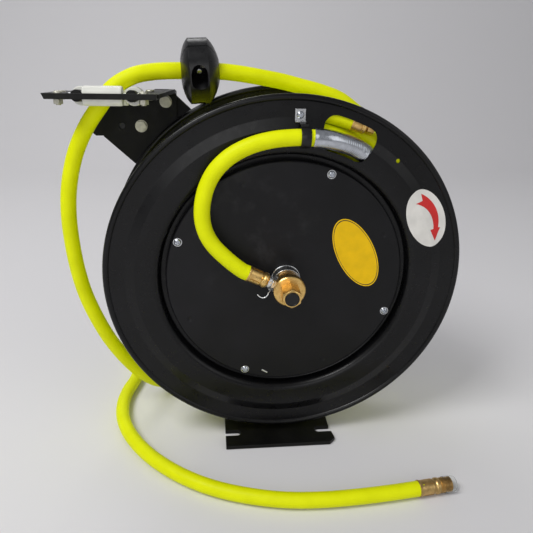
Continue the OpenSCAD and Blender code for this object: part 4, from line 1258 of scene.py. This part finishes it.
def make_guide():
    """Four rollers round the hose, in a plate that stands on the bracket."""
    across, lengthwise = rotated("Y", 90), rotated("X", 90)
    roller("front", -2.5, -23, across, radius=9.6, length=38)
    roller("rear", -2.5, 23, across, radius=9.6, length=38)
    roller("left", -26, 0, lengthwise, radius=9.4, length=25)
    roller("right", 26, 0, lengthwise, radius=9.4, length=25)
    make_roller_frame()
    make_bracket()
    make_frame_bolts()


make_guide()

# ---------- ball stop ----------

STOP_TURN = rotated("Z", 2.5) @ rotated("Y", 87.5) @ rotated("Z", -51)
BALL_STOP = Matrix.Translation(FREE_ROUTE[8]) @ STOP_TURN


def stop_pocket(side, y, wide, tall):
    """Deep pocket with rounded corners, open to one side of the stop."""
    bm = block((40, wide, tall), Matrix.Scale(1 / MM, 4))
    upright = [e for e in bm.edges if abs(e.verts[0].co.x - e.verts[1].co.x) > 1]
    bmesh.ops.bevel(
        bm,
        geom=upright,
        offset=tall * 0.4,
        affect="EDGES",
        segments=3,
        profile=0.5,
        material=-1,
    )
    bm.transform(BALL_STOP @ moved(side * 30.5, side * y, -1.5) @ Matrix.Scale(MM, 4))
    return bm


def make_ball_stop():
    """Two moulded halves, each with two deep pockets, and the tips of the bolts."""
    profile = [
        (9.1, -20), (12, -19.8), (16, -19.2), (22, -17.6), (27, -15.6), (30.6, -13.4),
        (32.2, -12), (33, -11.2), (33, 8.2), (32.2, 9), (30.6, 10.6), (27, 13.4),
        (22, 16.2), (16, 18.6), (12, 19.7), (9.1, 20), (9.1, -20),
    ]
    for name, node, side in (
        ("stop_front_half", "stop_lower", 1),
        ("stop_rear_half", "stop_upper", -1),
    ):
        half = new_object(name, turned(profile, BALL_STOP, 120), MOULDED)
        carve(half, block((80, 90, 90), BALL_STOP @ moved(side * -39.6, 0, 0)))
        for y, wide, tall in ((-16.5, 20, 16.5), (20, 11, 11)):
            carve(half, stop_pocket(side, y, wide, tall))
        finished(half, "frame", (node,), bevel=0.6)
    tip = filleted((0, 8, 0), (2.9, 8, 0), (2.9, 20, 0.7), (0, 20, 0))
    places = [
        BALL_STOP @ moved(0, side * -18, -1.5) @ rotated("Y", 90 * side)
        for side in (-1, 1)
    ]
    tips = joined([turned(tip, place, 32) for place in places])
    add("stop_bolt_tips", tips, ZINC, "frame")


make_ball_stop()

# ---------- stand ----------

plate_from("foot_plate", COARSE, 0.6)
plate_from("support_post", COARSE, 0.8)
plate_from("guide_arm", COARSE, 0.5)

# Finishes of the nodes that stay as they are
NODE_FINISH = {
    ZINC: ("hub_bolts", "shaft_nut", "pawl_pin", "roller_pins", "pawl_spring"),
    STEEL: ("main_shaft", "hub_sleeve", "ratchet_ring", "pawl"),
    DULL_ZINC: ("bracket_bolts", "stop_bolts"),
    POWDER: ("drum_shell",),
}
for finish, nodes in NODE_FINISH.items():
    for node in nodes:
        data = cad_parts[node].data
        data.materials.clear()
        data.materials.append(finish)

# ---------- studio ----------


def make_studio():
    """Pale floor that curves up into a backdrop, and an even sky."""
    bm = bmesh.new()
    half_width, drop = 4, 0.0005
    outline = filleted((-3.0, 0, 0), (2.2, 0, 0.9), (2.2, 3.2, 0), steps=24)
    verts = [bm.verts.new((-half_width, y, z - drop)) for y, z in outline]
    edges = [bm.edges.new(pair) for pair in zip(verts, verts[1:])]
    made = bmesh.ops.extrude_edge_only(bm, edges=edges)["geom"]
    far = of_kind(made, bmesh.types.BMVert)
    bmesh.ops.translate(bm, vec=(2 * half_width, 0, 0), verts=far)
    paper = bpy.data.materials.new("pale_backdrop")
    paper.use_nodes = True
    shader = paper.node_tree.nodes["Principled BSDF"]
    shader.inputs["Base Color"].default_value = (0.76, 0.75, 0.76, 1)
    shader.inputs["Roughness"].default_value = 0.9
    shader.inputs["Specular IOR Level"].default_value = 0.1
    floor = new_object("backdrop", bm, paper)
    shaded(floor.data, 60)

    world = bpy.data.worlds.new("studio")
    bpy.context.scene.world = world
    world.use_nodes = True
    background = world.node_tree.nodes["Background"]
    background.inputs["Color"].default_value = (0.95, 0.96, 1.0, 1)
    background.inputs["Strength"].default_value = 0.27


def lamp(name, place, aim, size, power):
    """Soft rectangular lamp, turned to a point."""
    data = bpy.data.lights.new(name, "AREA")
    data.shape = "RECTANGLE"
    data.size, data.size_y = size
    data.energy = power
    light = bpy.data.objects.new(name, data)
    bpy.context.scene.collection.objects.link(light)
    turn = (Vector(aim) - Vector(place)).to_track_quat("-Z", "Y")
    light.matrix_world = Matrix.Translation(place) @ turn.to_matrix().to_4x4()


make_studio()
lamp("key", (-1.1, -0.8, 2.0), (0, 0, 0.2), (0.9, 0.9), 27)
lamp("fill", (1.8, -1.4, 1.2), (0, 0, 0.2), (1.6, 1.6), 7)
lamp("front", (-0.6, -2.4, 1.0), (0, 0, 0.2), (1.4, 1.4), 11)
lamp("back", (-0.7, 1.4, 1.9), (0, 0, 0.3), (1.4, 0.5), 9)
bpy.context.scene.view_settings.view_transform = "Standard"
